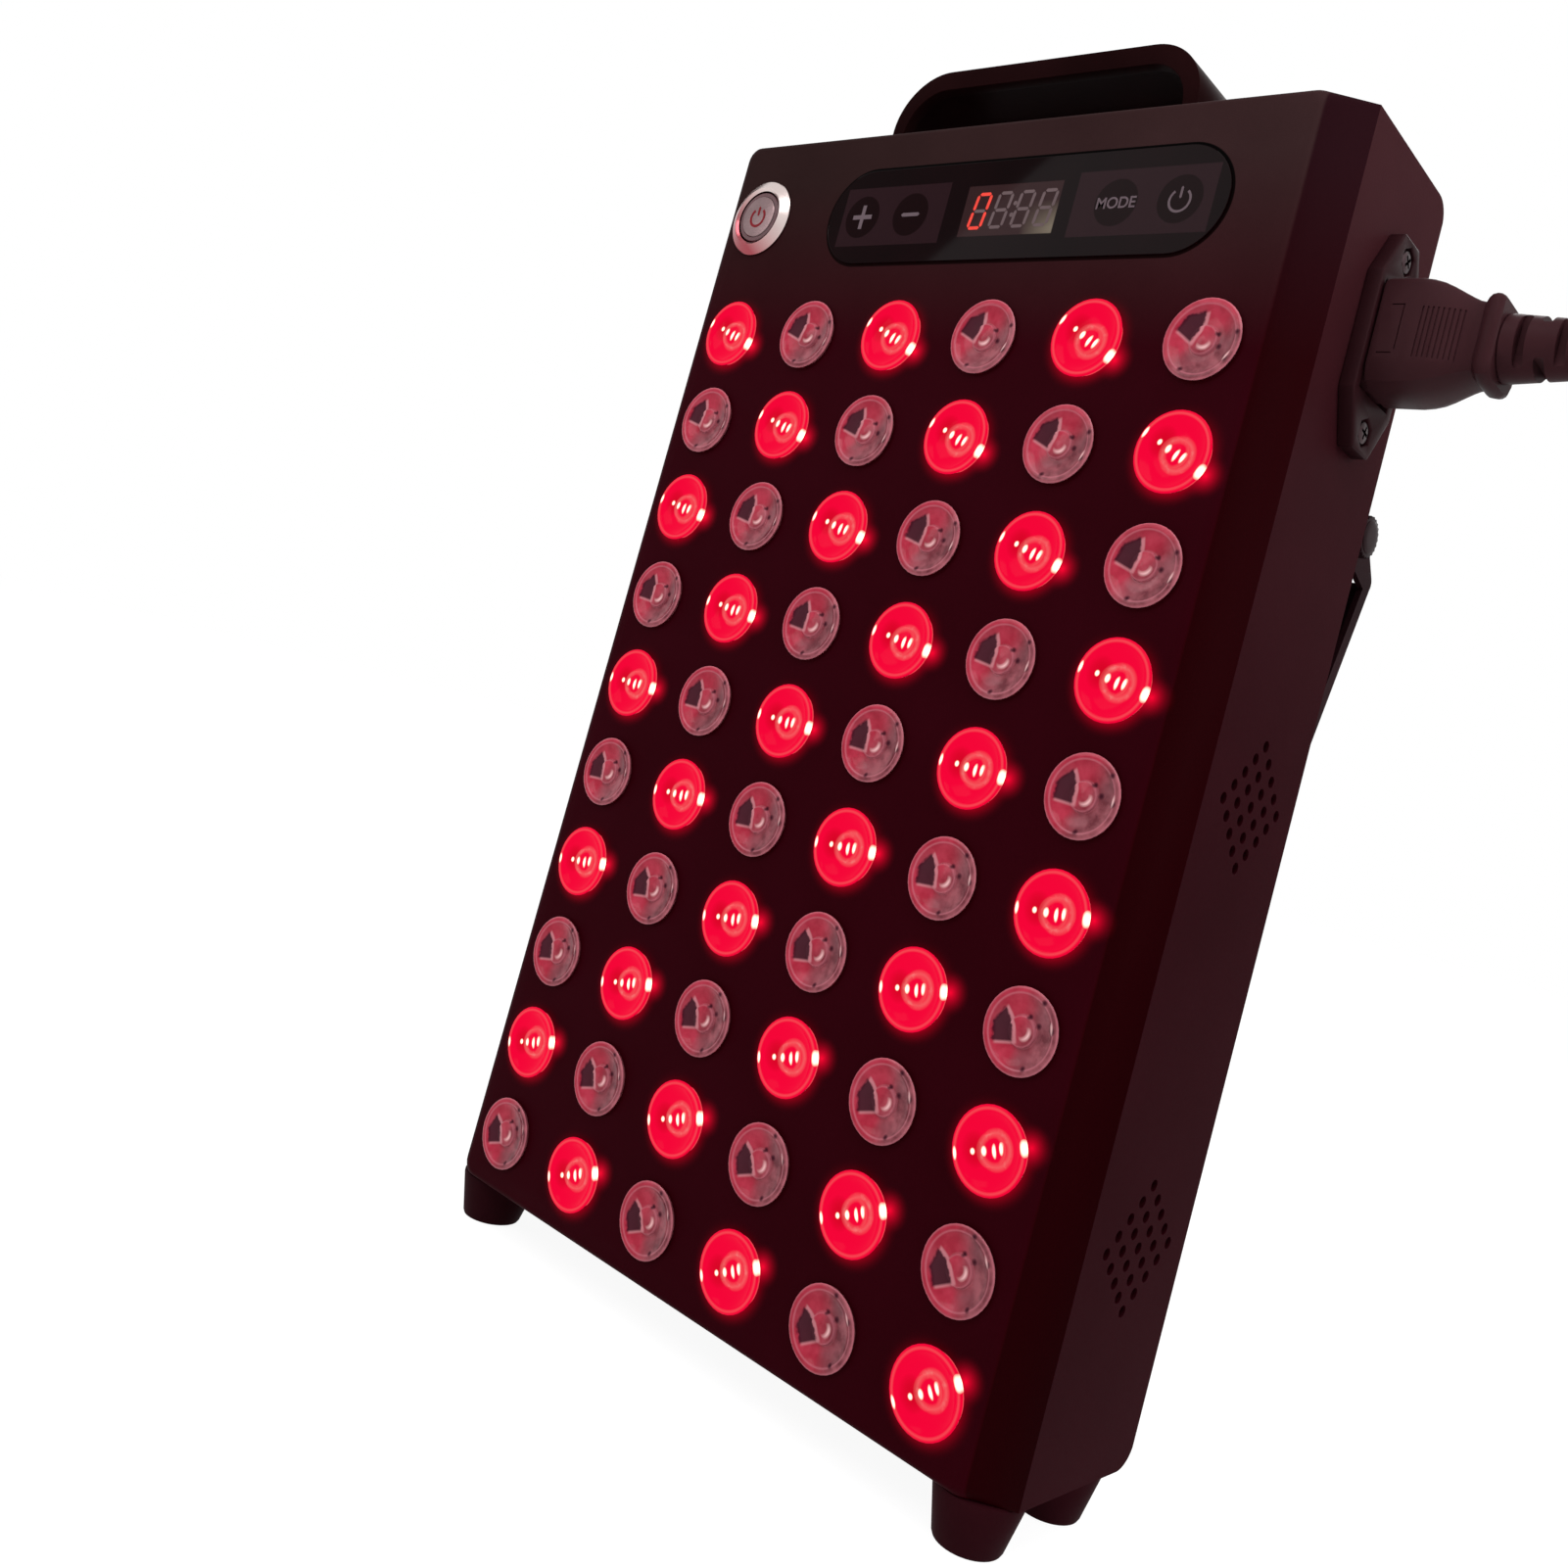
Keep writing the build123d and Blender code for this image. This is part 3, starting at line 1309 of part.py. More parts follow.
def main():
    """Builds every node and writes it to parts/."""
    os.makedirs("parts", exist_ok=True)
    feet = {
        "front_left_foot": (-foot_x, foot_front_y),
        "front_right_foot": (foot_x, foot_front_y),
        "rear_left_foot": (-foot_x, foot_rear_y),
        "rear_right_foot": (foot_x, foot_rear_y),
    }
    export("front_cover", front_cover())
    export("rear_casing", rear_casing())
    export("cover_screws", cover_screws())
    export("handle", handle())
    under_roof = case_top - SHEET
    export(
        "handle_screws", screws_up(handle_screw_places(), under_roof, SHEET + HANDLE_SCREW_DEPTH)
    )
    for node, (x, y) in feet.items():
        export(node, foot(x, y))
    floor = case_bottom + SHEET
    export("foot_screws", screws_down(feet.values(), floor, SHEET + FOOT_SCREW_LENGTH))
    export("red_lenses", lenses(True))
    export("infrared_lenses", lenses(False))
    export("led_chips", led_chips())
    export("led_board", led_board())
    export("heat_sink", heat_sink())
    export("board_standoffs", board_standoffs())
    export("control_overlay", control_overlay())
    export("display_module", display_module())
    export("touch_key_pads", touch_key_pads())
    export("control_board", control_board())
    export("button_bezel", button_bezel())
    export("button_cap", button_cap())
    export("button_nut", button_nut())
    export("button_switch", button_switch())
    export("inlet_housing", inlet_housing())
    export("inlet_pins", pin_blocks(0))
    export("inlet_screws", inlet_screws())
    export("power_supply", power_supply())
    export("supply_screws", supply_screws())
    for name, z in zip(("lower", "upper"), fan_centres):
        export(f"{name}_fan_frame", fan_frame(z))
        export(f"{name}_fan_rotor", fan_rotor(z))
    export("fan_screws", fan_screws())
    export("stand_frame", stand_frame())
    export("stand_pads", stand_pads())
    for node, piece in (
        ("stand_bracket", right_bracket()),
        ("pivot_nut", right_pivot_nut()),
        ("thumb_screw", right_thumb_screw()),
    ):
        right, left = both_sides(piece)
        export("right_" + node, right)
        export("left_" + node, left)
    right = right_bracket_screws()
    export("bracket_screws", right + [mirror(piece, Plane.YZ) for piece in right])
    export("mains_connector", mains_connector())
    export("connector_strain_relief", connector_strain_relief())
    export("cord_lead", cord_lead())
    export("cord_coil", cord_coil())
    export("cord_tie", cord_tie())
    export("plug_strain_relief", at_coil_end(strain_relief_reversed()))
    after_relief = Pos(WALL_RELIEF_LENGTH, 0, 0)
    export("mains_plug", at_coil_end(after_relief * wall_plug()))
    export("plug_contacts", [at_coil_end(after_relief * bar) for bar in wall_plug_contacts()])


main()
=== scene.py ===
import json
import math

import bmesh
import bpy
from mathutils import Matrix, Vector


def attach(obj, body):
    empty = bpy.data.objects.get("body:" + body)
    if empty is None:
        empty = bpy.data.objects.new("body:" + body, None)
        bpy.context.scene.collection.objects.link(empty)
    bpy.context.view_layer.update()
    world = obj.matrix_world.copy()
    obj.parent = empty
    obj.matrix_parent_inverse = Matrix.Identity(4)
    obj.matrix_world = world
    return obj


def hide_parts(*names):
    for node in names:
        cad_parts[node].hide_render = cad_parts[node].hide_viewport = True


# The red light therapy panel's looks. Pieces are drawn in the maker's millimetres, where x is
# counted from the panel's middle, y from the front cover's face and z from the table, and
# ROW_FRAME puts them in the shared frame in metres.
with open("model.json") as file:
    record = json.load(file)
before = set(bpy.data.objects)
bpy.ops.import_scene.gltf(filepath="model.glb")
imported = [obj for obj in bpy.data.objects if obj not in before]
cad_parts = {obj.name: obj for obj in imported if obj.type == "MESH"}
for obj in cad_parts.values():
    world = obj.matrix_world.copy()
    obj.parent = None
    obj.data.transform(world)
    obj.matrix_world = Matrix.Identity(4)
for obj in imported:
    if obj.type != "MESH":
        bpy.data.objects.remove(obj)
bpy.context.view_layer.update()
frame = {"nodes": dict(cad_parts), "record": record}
slot_of = {part["node"]: part["material_slot"] for part in frame["record"]["subparts"]}
body_of = {
    node: body for body, nodes in frame["record"]["behaviour"]["bodies"].items() for node in nodes
}

MM = 0.001
ORIGIN = Vector((-1.9, -37.147, 0.0))
ROW_FRAME = Matrix.Scale(MM, 4) @ Matrix.Translation(ORIGIN)

CASE_BOTTOM = 12.2
CASE_TOP = 313.8
CASE_D = 54.5
HALF_W = 97.2
FACE_HALF_W = 89.0
SEAM_Y = 9.2
CORNER_R = 4.5
SHEET = 1.5
COLUMNS = 6
ROWS = 10
COLUMN_PITCH = 30.0
ROW_PITCH = 25.42
GRID_Z = 142.3
LENS_R = 9.55
# The point, across and up in millimetres, towards which the painted glints on the lenses and the
# cover lie
GLINT_AIM = (238.0, 148.0)
BUTTON = (-76.2, 291.1)
CORD_D = 7.2
# The paint's roughness, and its grain and relief in metres
PAINT_GRAIN = (0.5, 0.0004, 0.00003)
USUAL_GLOSS = 0.5
FINE_SCRATCH = 0.00025


def in_scene(name, data):
    """A new object that shows in the scene."""
    thing = bpy.data.objects.new(name, data)
    bpy.context.scene.collection.objects.link(thing)
    return thing


def camera():
    """The photograph's camera: close to the panel's right front corner and rolled by 15 degrees."""
    data = bpy.data.cameras.new("camera")
    data.sensor_width = 36.0
    data.lens = 32.995
    data.shift_x = -0.08972
    data.shift_y = -0.05265
    data.clip_start = 0.01
    data.clip_end = 20.0
    eye = in_scene("camera", data)
    eye.location = (0.23448, -0.29782, 0.14832)
    eye.rotation_euler = [math.radians(turn) for turn in (93.39296, -15.07384, 37.96412)]
    bpy.context.scene.camera = eye


# The mains lead: the listed points of its free run, then its coil
LEAD_POINTS = (
    (156.5, 33.2, 269.4), (180.0, 33.2, 269.4), (204.0, 32.0, 255.0), (216.0, 24.0, 222.0),
    (217.5, 8.0, 174.0), (214.0, -7.0, 130.0), (211.0, -20.5, 95.0), (205.0, -28.0, 67.0),
    (197.0, -31.5, 39.0), (191.1, -22.0, 16.8), (190.1, -1.0, 4.1),
)
COIL_CENTRE = (244.27, 25.0)
COIL_R = 54.17
COIL_PITCH = 7.7
COIL_TURNS = 2.35
COIL_CLIMB = 0.5
COIL_LIFT = 15.49
COIL_Z = 4.09
COIL_STEPS = 46


def coil_point(turn):
    """Where the coil is after so many turns: inwards in one layer, then up onto it."""
    climb = max((turn - COIL_TURNS) / COIL_CLIMB, 0)
    rise = climb * climb * (3 - 2 * climb) * COIL_LIFT
    radius = COIL_R - COIL_PITCH * turn
    angle = math.pi - 2 * math.pi * turn
    return (
        COIL_CENTRE[0] + radius * math.cos(angle),
        COIL_CENTRE[1] + radius * math.sin(angle),
        COIL_Z + rise,
    )


def mains_cord(finish):
    """The lead as one smooth curve, from the strain relief to the mains plug's relief."""
    points = list(LEAD_POINTS)
    for i in range(COIL_STEPS + 1):
        points.append(coil_point((COIL_TURNS + COIL_CLIMB) * i / COIL_STEPS))
    curve = bpy.data.curves.new("mains_cord", "CURVE")
    curve.dimensions = "3D"
    curve.bevel_depth = CORD_D / 2 * MM
    curve.bevel_resolution = 5
    curve.resolution_u = 6
    curve.use_fill_caps = True
    spline = curve.splines.new("NURBS")
    spline.points.add(len(points) - 1)
    for spot, point in zip(spline.points, points):
        spot.co = (*(ROW_FRAME @ Vector(point)), 1.0)
    spline.order_u = 3
    spline.use_endpoint_u = True
    curve.materials.append(finish)
    cord = in_scene("mains_cord", curve)
    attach(cord, "panel")
    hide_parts("cord_lead", "cord_coil")
    return cord


def stage():
    """A plain pale floor, and a white surround that only the eye and shiny surfaces see."""
    bm = bmesh.new()
    bmesh.ops.create_grid(bm, x_segments=1, y_segments=1, size=6.0)
    mesh = as_mesh(bm, "floor")
    floor = in_scene("floor", mesh)
    paint, tree, shader = plain_finish("floor_white", 0.9, USUAL_GLOSS)
    put(shader, "Base Color", (0.86, 0.86, 0.86))
    white = tree.nodes.new("ShaderNodeEmission")
    put(white, "Strength", 1.13)
    blend_surface(tree, seen_directly(tree) * 0.82, shader, white, "Material Output")
    mesh.materials.append(paint)

    world = bpy.data.worlds.new("surround")
    world.use_nodes = True
    bpy.context.scene.world = world
    tree = world.node_tree
    dim = tree.nodes["Background"]
    bright = tree.nodes.new("ShaderNodeBackground")
    for surround, strength in ((dim, 0.42), (bright, 1.0)):
        put(surround, "Color", (1.0, 1.0, 1.0))
        put(surround, "Strength", strength)
    blend_surface(tree, seen_directly(tree), dim, bright, "World Output")


def blend_surface(tree, share, below, above, output):
    """Blends two shaders by a share, for a material's or a world's surface."""
    blend = tree.nodes.new("ShaderNodeMixShader")
    for place, source in enumerate((share, below.outputs[0], above.outputs[0])):
        put(blend, place, source)
    put(tree.nodes[output], "Surface", blend.outputs[0])


def seen_directly(tree):
    """1 for a ray from the eye, off gloss or through glass, and 0 for one that lights things."""
    path = tree.nodes.new("ShaderNodeLightPath")
    rays = ("Is Camera Ray", "Is Glossy Ray", "Is Transmission Ray")
    return highest(*[Amount(tree, path.outputs[ray]) for ray in rays])


def softbox(name, spot, aim, size, power):
    """A square lamp at one point, turned towards another."""
    data = bpy.data.lights.new(name, "AREA")
    data.shape = "SQUARE"
    data.size = size
    data.energy = power
    lamp = in_scene(name, data)
    lamp.location = spot
    lamp.rotation_euler = (Vector(aim) - Vector(spot)).to_track_quat("-Z", "Y").to_euler()
    return lamp


def lights():
    """Soft studio light from three sides, and a tilted card that shows in the glossy overlay."""
    softbox("key_light", (0.25, -0.75, 1.15), (0.0, 0.0, 0.25), 0.8, 8.0)
    softbox("side_light", (1.4, -0.1, 0.9), (0.0, 0.0, 0.2), 0.9, 13.0)
    softbox("rear_light", (-0.4, 1.3, 1.2), (0.0, 0.0, 0.15), 1.2, 12.0)
    card = softbox("card_light", (-0.3364, -0.61, 0.5074), (0.0, 0.0, 0.3), 0.36, 1.15)
    card.rotation_euler = (math.pi / 2, -math.radians(41.0), 0.0)


class Amount:
    """A number that varies over a surface: a node's output that plain arithmetic builds on."""

    def __init__(self, tree, socket):
        self.tree = tree
        self.socket = socket

    def maths(self, operation, *values):
        """One step of arithmetic on amounts and plain numbers."""
        step = self.tree.nodes.new("ShaderNodeMath")
        step.operation = operation
        for place, value in enumerate(values):
            put(step, place, value)
        return Amount(self.tree, step.outputs[0])

    def __add__(self, other):
        return self.maths("ADD", self, other)

    def __sub__(self, other):
        return self.maths("SUBTRACT", self, other)

    def __rsub__(self, other):
        return self.maths("SUBTRACT", other, self)

    def __mul__(self, other):
        return self.maths("MULTIPLY", self, other)

    def __truediv__(self, other):
        return self.maths("DIVIDE", self, other)

    def __rtruediv__(self, other):
        return self.maths("DIVIDE", other, self)

    def __pow__(self, other):
        return self.maths("POWER", self, other)

    def __abs__(self):
        return self.maths("ABSOLUTE", self)


def put(node, place, look):
    """Sets a node's socket to a number or a colour, or links it to something that varies."""
    socket = node.inputs[place]
    if isinstance(look, Amount):
        look = look.socket
    if isinstance(look, bpy.types.NodeSocket):
        node.id_data.links.new(look, socket)
    elif isinstance(look, tuple):
        socket.default_value = (*look, 1.0)
    else:
        socket.default_value = look


def highest(first, *others):
    """The highest of some amounts at each point."""
    for other in others:
        first = first.maths("MAXIMUM", first, other)
    return first


def stretched(amount, low, high):
    """An amount's range from low to high, stretched to 0 and 1 and cut off there."""
    spread = amount.tree.nodes.new("ShaderNodeMapRange")
    put(spread, "From Min", low)
    put(spread, "From Max", high)
    put(spread, "Value", amount)
    return Amount(amount.tree, spread.outputs["Result"])


def between(amount, low, high, soft=0.2):
    """1 where an amount lies between two limits and 0 outside them."""
    half = soft / 2
    return (stretched(amount, low - half, low + half)
            * stretched(amount, high + half, high - half))


def tinted(share, below, above):
    """A colour between two others; each is a colour or another node's output."""
    mix = share.tree.nodes.new("ShaderNodeMix")
    mix.data_type = "RGBA"
    put(mix, "Factor", share)
    put(mix, 6, below)
    put(mix, 7, above)
    return mix.outputs[2]


def own_coordinates(tree):
    """The piece's own coordinates, which are the shared frame's, in metres."""
    return tree.nodes.new("ShaderNodeTexCoord").outputs["Object"]


def noise(tree, where, size, detail):
    """A noise whose grains are about so many metres across."""
    grain = tree.nodes.new("ShaderNodeTexNoise")
    put(grain, "Scale", 1.0 / size)
    put(grain, "Detail", detail)
    put(grain, "Vector", where)
    return Amount(tree, grain.outputs["Fac"])


def patches(tree, size, detail, low=0.3, high=0.7):
    """Soft patches of 0 and 1, about so many metres across."""
    return stretched(noise(tree, own_coordinates(tree), size, detail), low, high)


def relief(shader, height, depth):
    """Gives a surface the relief of a height pattern, so many metres deep."""
    bump = shader.id_data.nodes.new("ShaderNodeBump")
    put(bump, "Strength", 1.0)
    put(bump, "Distance", depth)
    put(bump, "Height", height)
    put(shader, "Normal", bump.outputs["Normal"])


def plain_finish(name, roughness, gloss):
    """A finish with its shader, before its detail is added."""
    finish = bpy.data.materials.new(name)
    finish.use_nodes = True
    tree = finish.node_tree
    shader = tree.nodes["Principled BSDF"]
    put(shader, "Roughness", roughness)
    put(shader, "Specular IOR Level", gloss)
    return finish, tree, shader


def textured(name, roughness, grain, depth, gloss):
    """A finish with a fine grain in its relief and its roughness, before its colour."""
    finish, tree, shader = plain_finish(name, roughness, gloss)
    fine = noise(tree, own_coordinates(tree), grain, 3.0)
    put(shader, "Roughness", fine * 0.16 + (roughness - 0.08))
    relief(shader, fine, depth)
    return finish, tree, shader


def grained(name, colour, roughness, grain, depth, gloss=USUAL_GLOSS, mottle=0.25):
    """A textured finish with slow changes in its colour."""
    finish, tree, shader = textured(name, roughness, grain, depth, gloss)
    darker = tuple(part * (1 - mottle) for part in colour)
    lighter = tuple(min(part * (1 + mottle), 1.0) for part in colour)
    put(shader, "Base Color", tinted(patches(tree, 0.03, 4.0), darker, lighter))
    return finish


def scratched(name, roughness, scratch):
    """Turned or drawn metal with fine scratches, before its colour."""
    finish, tree, shader = plain_finish(name, roughness, USUAL_GLOSS)
    put(shader, "Metallic", 1.0)
    squeeze = tree.nodes.new("ShaderNodeMapping")
    squeeze.inputs["Scale"].default_value = (0.12, 1.0, 1.0)
    put(squeeze, "Vector", own_coordinates(tree))
    fine = noise(tree, squeeze.outputs["Vector"], scratch, 3.0)
    put(shader, "Roughness", fine * 0.2 + (roughness - 0.1))
    relief(shader, fine, 0.000008)
    return finish, tree, shader


def brushed(name, colour, roughness, scratch=FINE_SCRATCH):
    """Scratched metal with slow changes in its tone."""
    finish, tree, shader = scratched(name, roughness, scratch)
    darker = tuple(part * 0.72 for part in colour)
    put(shader, "Base Color", tinted(patches(tree, 0.006, 3.0), darker, colour))
    return finish


def glowing(name, colour, strength, base):
    """A part of the display or button that gives off its own light, a little unevenly."""
    finish, tree, shader = plain_finish(name, 0.3, 0.1)
    put(shader, "Base Color", base)
    put(shader, "Emission Color", colour)
    put(shader, "Emission Strength",
        patches(tree, 0.0015, 2.0) * (strength * 0.3) + strength * 0.85)
    return finish


def drawing_place(tree):
    """Where a point is in the maker's millimetres, across and up."""
    split = tree.nodes.new("ShaderNodeSeparateXYZ")
    put(split, 0, own_coordinates(tree))
    across, up = [Amount(tree, split.outputs[axis]) / MM for axis in ("X", "Z")]
    return across - ORIGIN.x, up


def lens_polar(tree):
    """A lens's own place from its UV map: across, up and out from the centre, where 1 is the rim."""
    split = tree.nodes.new("ShaderNodeSeparateXYZ")
    put(split, 0, tree.nodes.new("ShaderNodeTexCoord").outputs["UV"])
    across, up = [Amount(tree, split.outputs[axis]) * 2.0 - 1.0 for axis in ("X", "Y")]
    return across, up, away_from(across, up)


def away_from(dx, dz):
    """How far a point is from another, given both steps between them."""
    return (dx * dx + dz * dz) ** 0.5


def field(across, up, x0, x1, z0, z1, soft=0.2):
    """1 inside an upright rectangle and 0 outside it."""
    return between(across, x0, x1, soft) * between(up, z0, z1, soft)


def spot(across, up, centre, reach):
    """A soft oval spot on a lens: 1 in its middle and 0 past its reach."""
    a = (across - centre[0]) / reach[0]
    b = (up - centre[1]) / reach[1]
    return stretched(a * a + b * b, 1.0, 0.0)


def ring(out, radius, width):
    """A soft ring on a lens: 1 at its radius and 0 past its width."""
    return stretched(abs(out - radius), width, 0.0)


def lens_cell(across, up):
    """The steps from the nearest lens's centre to a point of the front, and 1 if it is lit."""
    column = across / COLUMN_PITCH + COLUMNS / 2
    row = (up - GRID_Z) / -ROW_PITCH + ROWS / 2
    dx = (column.maths("FRACT", column) - 0.5) * COLUMN_PITCH
    dz = (row.maths("FRACT", row) - 0.5) * -ROW_PITCH
    order = column.maths("FLOOR", column) + row.maths("FLOOR", row)
    inside = between(column, 0, COLUMNS, 0.01) * between(row, 0, ROWS, 0.01)
    return dx, dz, (1.0 - order.maths("MODULO", order, 2.0)) * inside


def glint_offset(across, up, dx, dz, reach):
    """The steps from a lens's painted glint to a point, where the painted glint lies towards
    GLINT_AIM.
    """
    to_x = GLINT_AIM[0] - (across - dx)
    to_z = GLINT_AIM[1] - (up - dz)
    scale = reach / away_from(to_x, to_z)
    return dx - to_x * scale, dz - to_z * scale


def cover_paint_and_painted_light():
    """The casing's paint on the front, with painted light and shade: a red glow and glints round the
    lit lenses, a red cast low down, a paler right side, shaded slopes and a shaded gap round the
    overlay.
    """
    finish, tree, shader = textured("cover_paint_and_painted_light", *PAINT_GRAIN, 0.01)
    across, up = drawing_place(tree)
    slow = patches(tree, 0.03, 4.0)
    # Painted light: the front's colour paler towards the right.
    painted_light_rightwards = stretched(across, -70.0, 90.0) ** 1.5
    plain = tinted(slow, tinted(painted_light_rightwards, (0.0165, 0.0068, 0.0068), (0.029, 0.0128, 0.0134)),
                   tinted(painted_light_rightwards, (0.0205, 0.0088, 0.0088), (0.036, 0.0162, 0.017)))
    # Painted red light from the lit lenses: the front turns redder from 300 mm up down to 255 mm and
    # below.
    painted_red_light = tinted(slow, (0.0145, 0.0003, 0.002), (0.0175, 0.0005, 0.0026))
    bathed = stretched(up, 300.0, 255.0)
    # Painted shade: the sloping sides darker than the face, and redder low down.
    sloping = between(abs(across), FACE_HALF_W - 0.2, HALF_W + 1, 0.6)
    darker = tinted(bathed, (0.0143, 0.0029, 0.0048), (0.0123, 0.0001, 0.0008))
    colour = tinted(sloping, tinted(bathed, plain, painted_red_light), darker)
    # Painted shade: a dark line round the overlay, standing in for the shaded gap at its edge.
    past_ends = highest(abs(across - OVERLAY_X) - (OVERLAY_HALF_W - OVERLAY_HALF_H), 0.0)
    gap = between(away_from(past_ends, up - OVERLAY_Z), 0.0, OVERLAY_HALF_H + 0.75)
    put(shader, "Base Color", tinted(gap, colour, (0.0003, 0.0001, 0.0001)))
    # Painted light: a red glow round each lit lens, stronger below it, a glint just outside each lit
    # lens's rim towards GLINT_AIM, and a faint red glow low on the face.
    dx, dz, lit = lens_cell(across, up)
    near = stretched(away_from(dx, dz), LENS_R + 3.6, LENS_R - 0.3)
    painted_red_spill = near ** 3.0 * stretched(dz, 12.222, -10.0) * 0.26
    glint = stretched(away_from(*glint_offset(across, up, dx, dz, LENS_R + 0.5)), 5.5, 0.0)
    painted_red_wash = bathed * between(abs(across), -1.0, FACE_HALF_W) * 0.006
    put(shader, "Emission Color", (1.0, 0.0, 0.03))
    put(shader, "Emission Strength", (painted_red_spill + glint ** 2.5 * 0.9) * lit + painted_red_wash)
    return finish


def side_paint_and_painted_light():
    """The casing's paint on its sides, top and back, with painted light: paler near the top."""
    finish, tree, shader = textured("casing_side_paint", *PAINT_GRAIN, 0.008)
    slow = patches(tree, 0.03, 4.0)
    low = tinted(slow, (0.0185, 0.0012, 0.003), (0.0215, 0.0018, 0.004))
    high = tinted(slow, (0.034, 0.0086, 0.0112), (0.0405, 0.0108, 0.0136))
    # Painted light: paler towards the top
    height = stretched(drawing_place(tree)[1], 150.0, 300.0) ** 1.5
    put(shader, "Base Color", tinted(height, low, high))
    return finish


def overlay_print():
    """The glossy sheet's printing: two paler fields, four dark keys and the display window, with a
    painted reflection in the window's lower right.
    """
    finish, tree, shader = plain_finish("overlay_print", 0.04, 0.025)
    across, up = drawing_place(tree)
    colour = tinted(patches(tree, 0.02, 3.0), (0.003, 0.0003, 0.0006), (0.005, 0.0006, 0.0011))
    for printed in KEY_FIELDS:
        colour = tinted(field(across, up, *printed), colour, (0.0165, 0.0055, 0.0075))
    for x in KEY_X:
        key = between(away_from(across - x, up - OVERLAY_Z), -1.0, KEY_R)
        colour = tinted(key, colour, (0.0055, 0.0005, 0.001))
    # Painted reflection: the window paler towards its lower right
    painted_glare = stretched(across, 17.0, 27.0) * stretched(up, 291.5, 284.5) * 0.8
    glass = tinted(painted_glare, (0.027, 0.011, 0.012), (0.2, 0.165, 0.12))
    put(shader, "Base Color", tinted(field(across, up, *WINDOW), colour, glass))
    return finish


def button_steel():
    """The button's polished metal, with painted light: redder on its lower left, where the lenses
    shine on it, and paler on its upper right.
    """
    finish, tree, shader = scratched("button_steel", 0.2, FINE_SCRATCH)
    across, up = drawing_place(tree)
    # Painted light: a red reflection towards the lower left, a paler sheen towards the upper right
    rise = across - BUTTON[0] + (up - BUTTON[1])
    put(shader, "Base Color",
        tinted(stretched(rise, -10.0, 8.0), (0.34, 0.07, 0.085), (0.66, 0.55, 0.53)))
    return finish


# The painted white glints of a lit lens: where they are on it, and how far they reach each way
PAINTED_LIT_GLINTS = (
    ((0.93, 0.0), (0.13, 0.2)), ((0.3, 0.02), (0.05, 0.15)), ((0.13, -0.02), (0.05, 0.17)),
    ((-0.14, 0.0), (0.09, 0.12)), ((-0.5, 0.01), (0.06, 0.08)), ((-0.9, 0.0), (0.05, 0.16)),
)
# The dark specks of an unlit lens, each with its reach
UNLIT_SPECKS = (
    ((0.82, 0.02), 0.1), ((0.62, 0.62), 0.08), ((0.1, -0.8), 0.08), ((0.42, 0.12), 0.09),
    ((0.2, 0.32), 0.08),
)


def lit_lens():
    """A lens with its red chip alight: one saturated red, with rings and painted white glints in
    line.
    """
    finish, tree, shader = plain_finish("lit_lens", 0.12, 0.02)
    across, up, out = lens_polar(tree)
    rings = highest(ring(out, 0.9, 0.05), ring(out, 0.36, 0.05))
    swirl = patches(tree, 0.0016, 3.0, 0.52, 0.75)
    inner = ring(away_from(across - 0.13, up), 0.36, 0.12)
    pale = highest(rings * 0.3, (swirl * 0.55 + 0.45) * inner)
    shade = spot(across, up, (-0.42, 0.05), (0.34, 0.42))
    red = tinted(shade, (1.0, 0.0, 0.04), (0.72, 0.0, 0.016))
    colour = tinted(pale, red, (1.0, 0.24, 0.22))
    painted_glints = highest(*[spot(across, up, *glint) for glint in PAINTED_LIT_GLINTS])
    put(shader, "Emission Color", tinted(painted_glints ** 0.6, colour, (1.0, 0.86, 0.62)))
    put(shader, "Emission Strength", painted_glints * 1.6 + 0.86)
    put(shader, "Base Color", (0.05, 0.0, 0.003))
    return finish


def dark_patch(across, up, grown):
    """1 on the four-cornered patch where a lens shows its dark chip board, grown to the right."""
    inside = field(across, up, -0.7, -0.17 + grown, -0.22 - grown, 1.0, 0.06)
    left = between(across * -1.1 + up, -9.0, 0.97, 0.08)
    right = between(across * 2.0 + up, -9.0, -0.26 + 2 * grown, 0.1)
    return inside * left * right


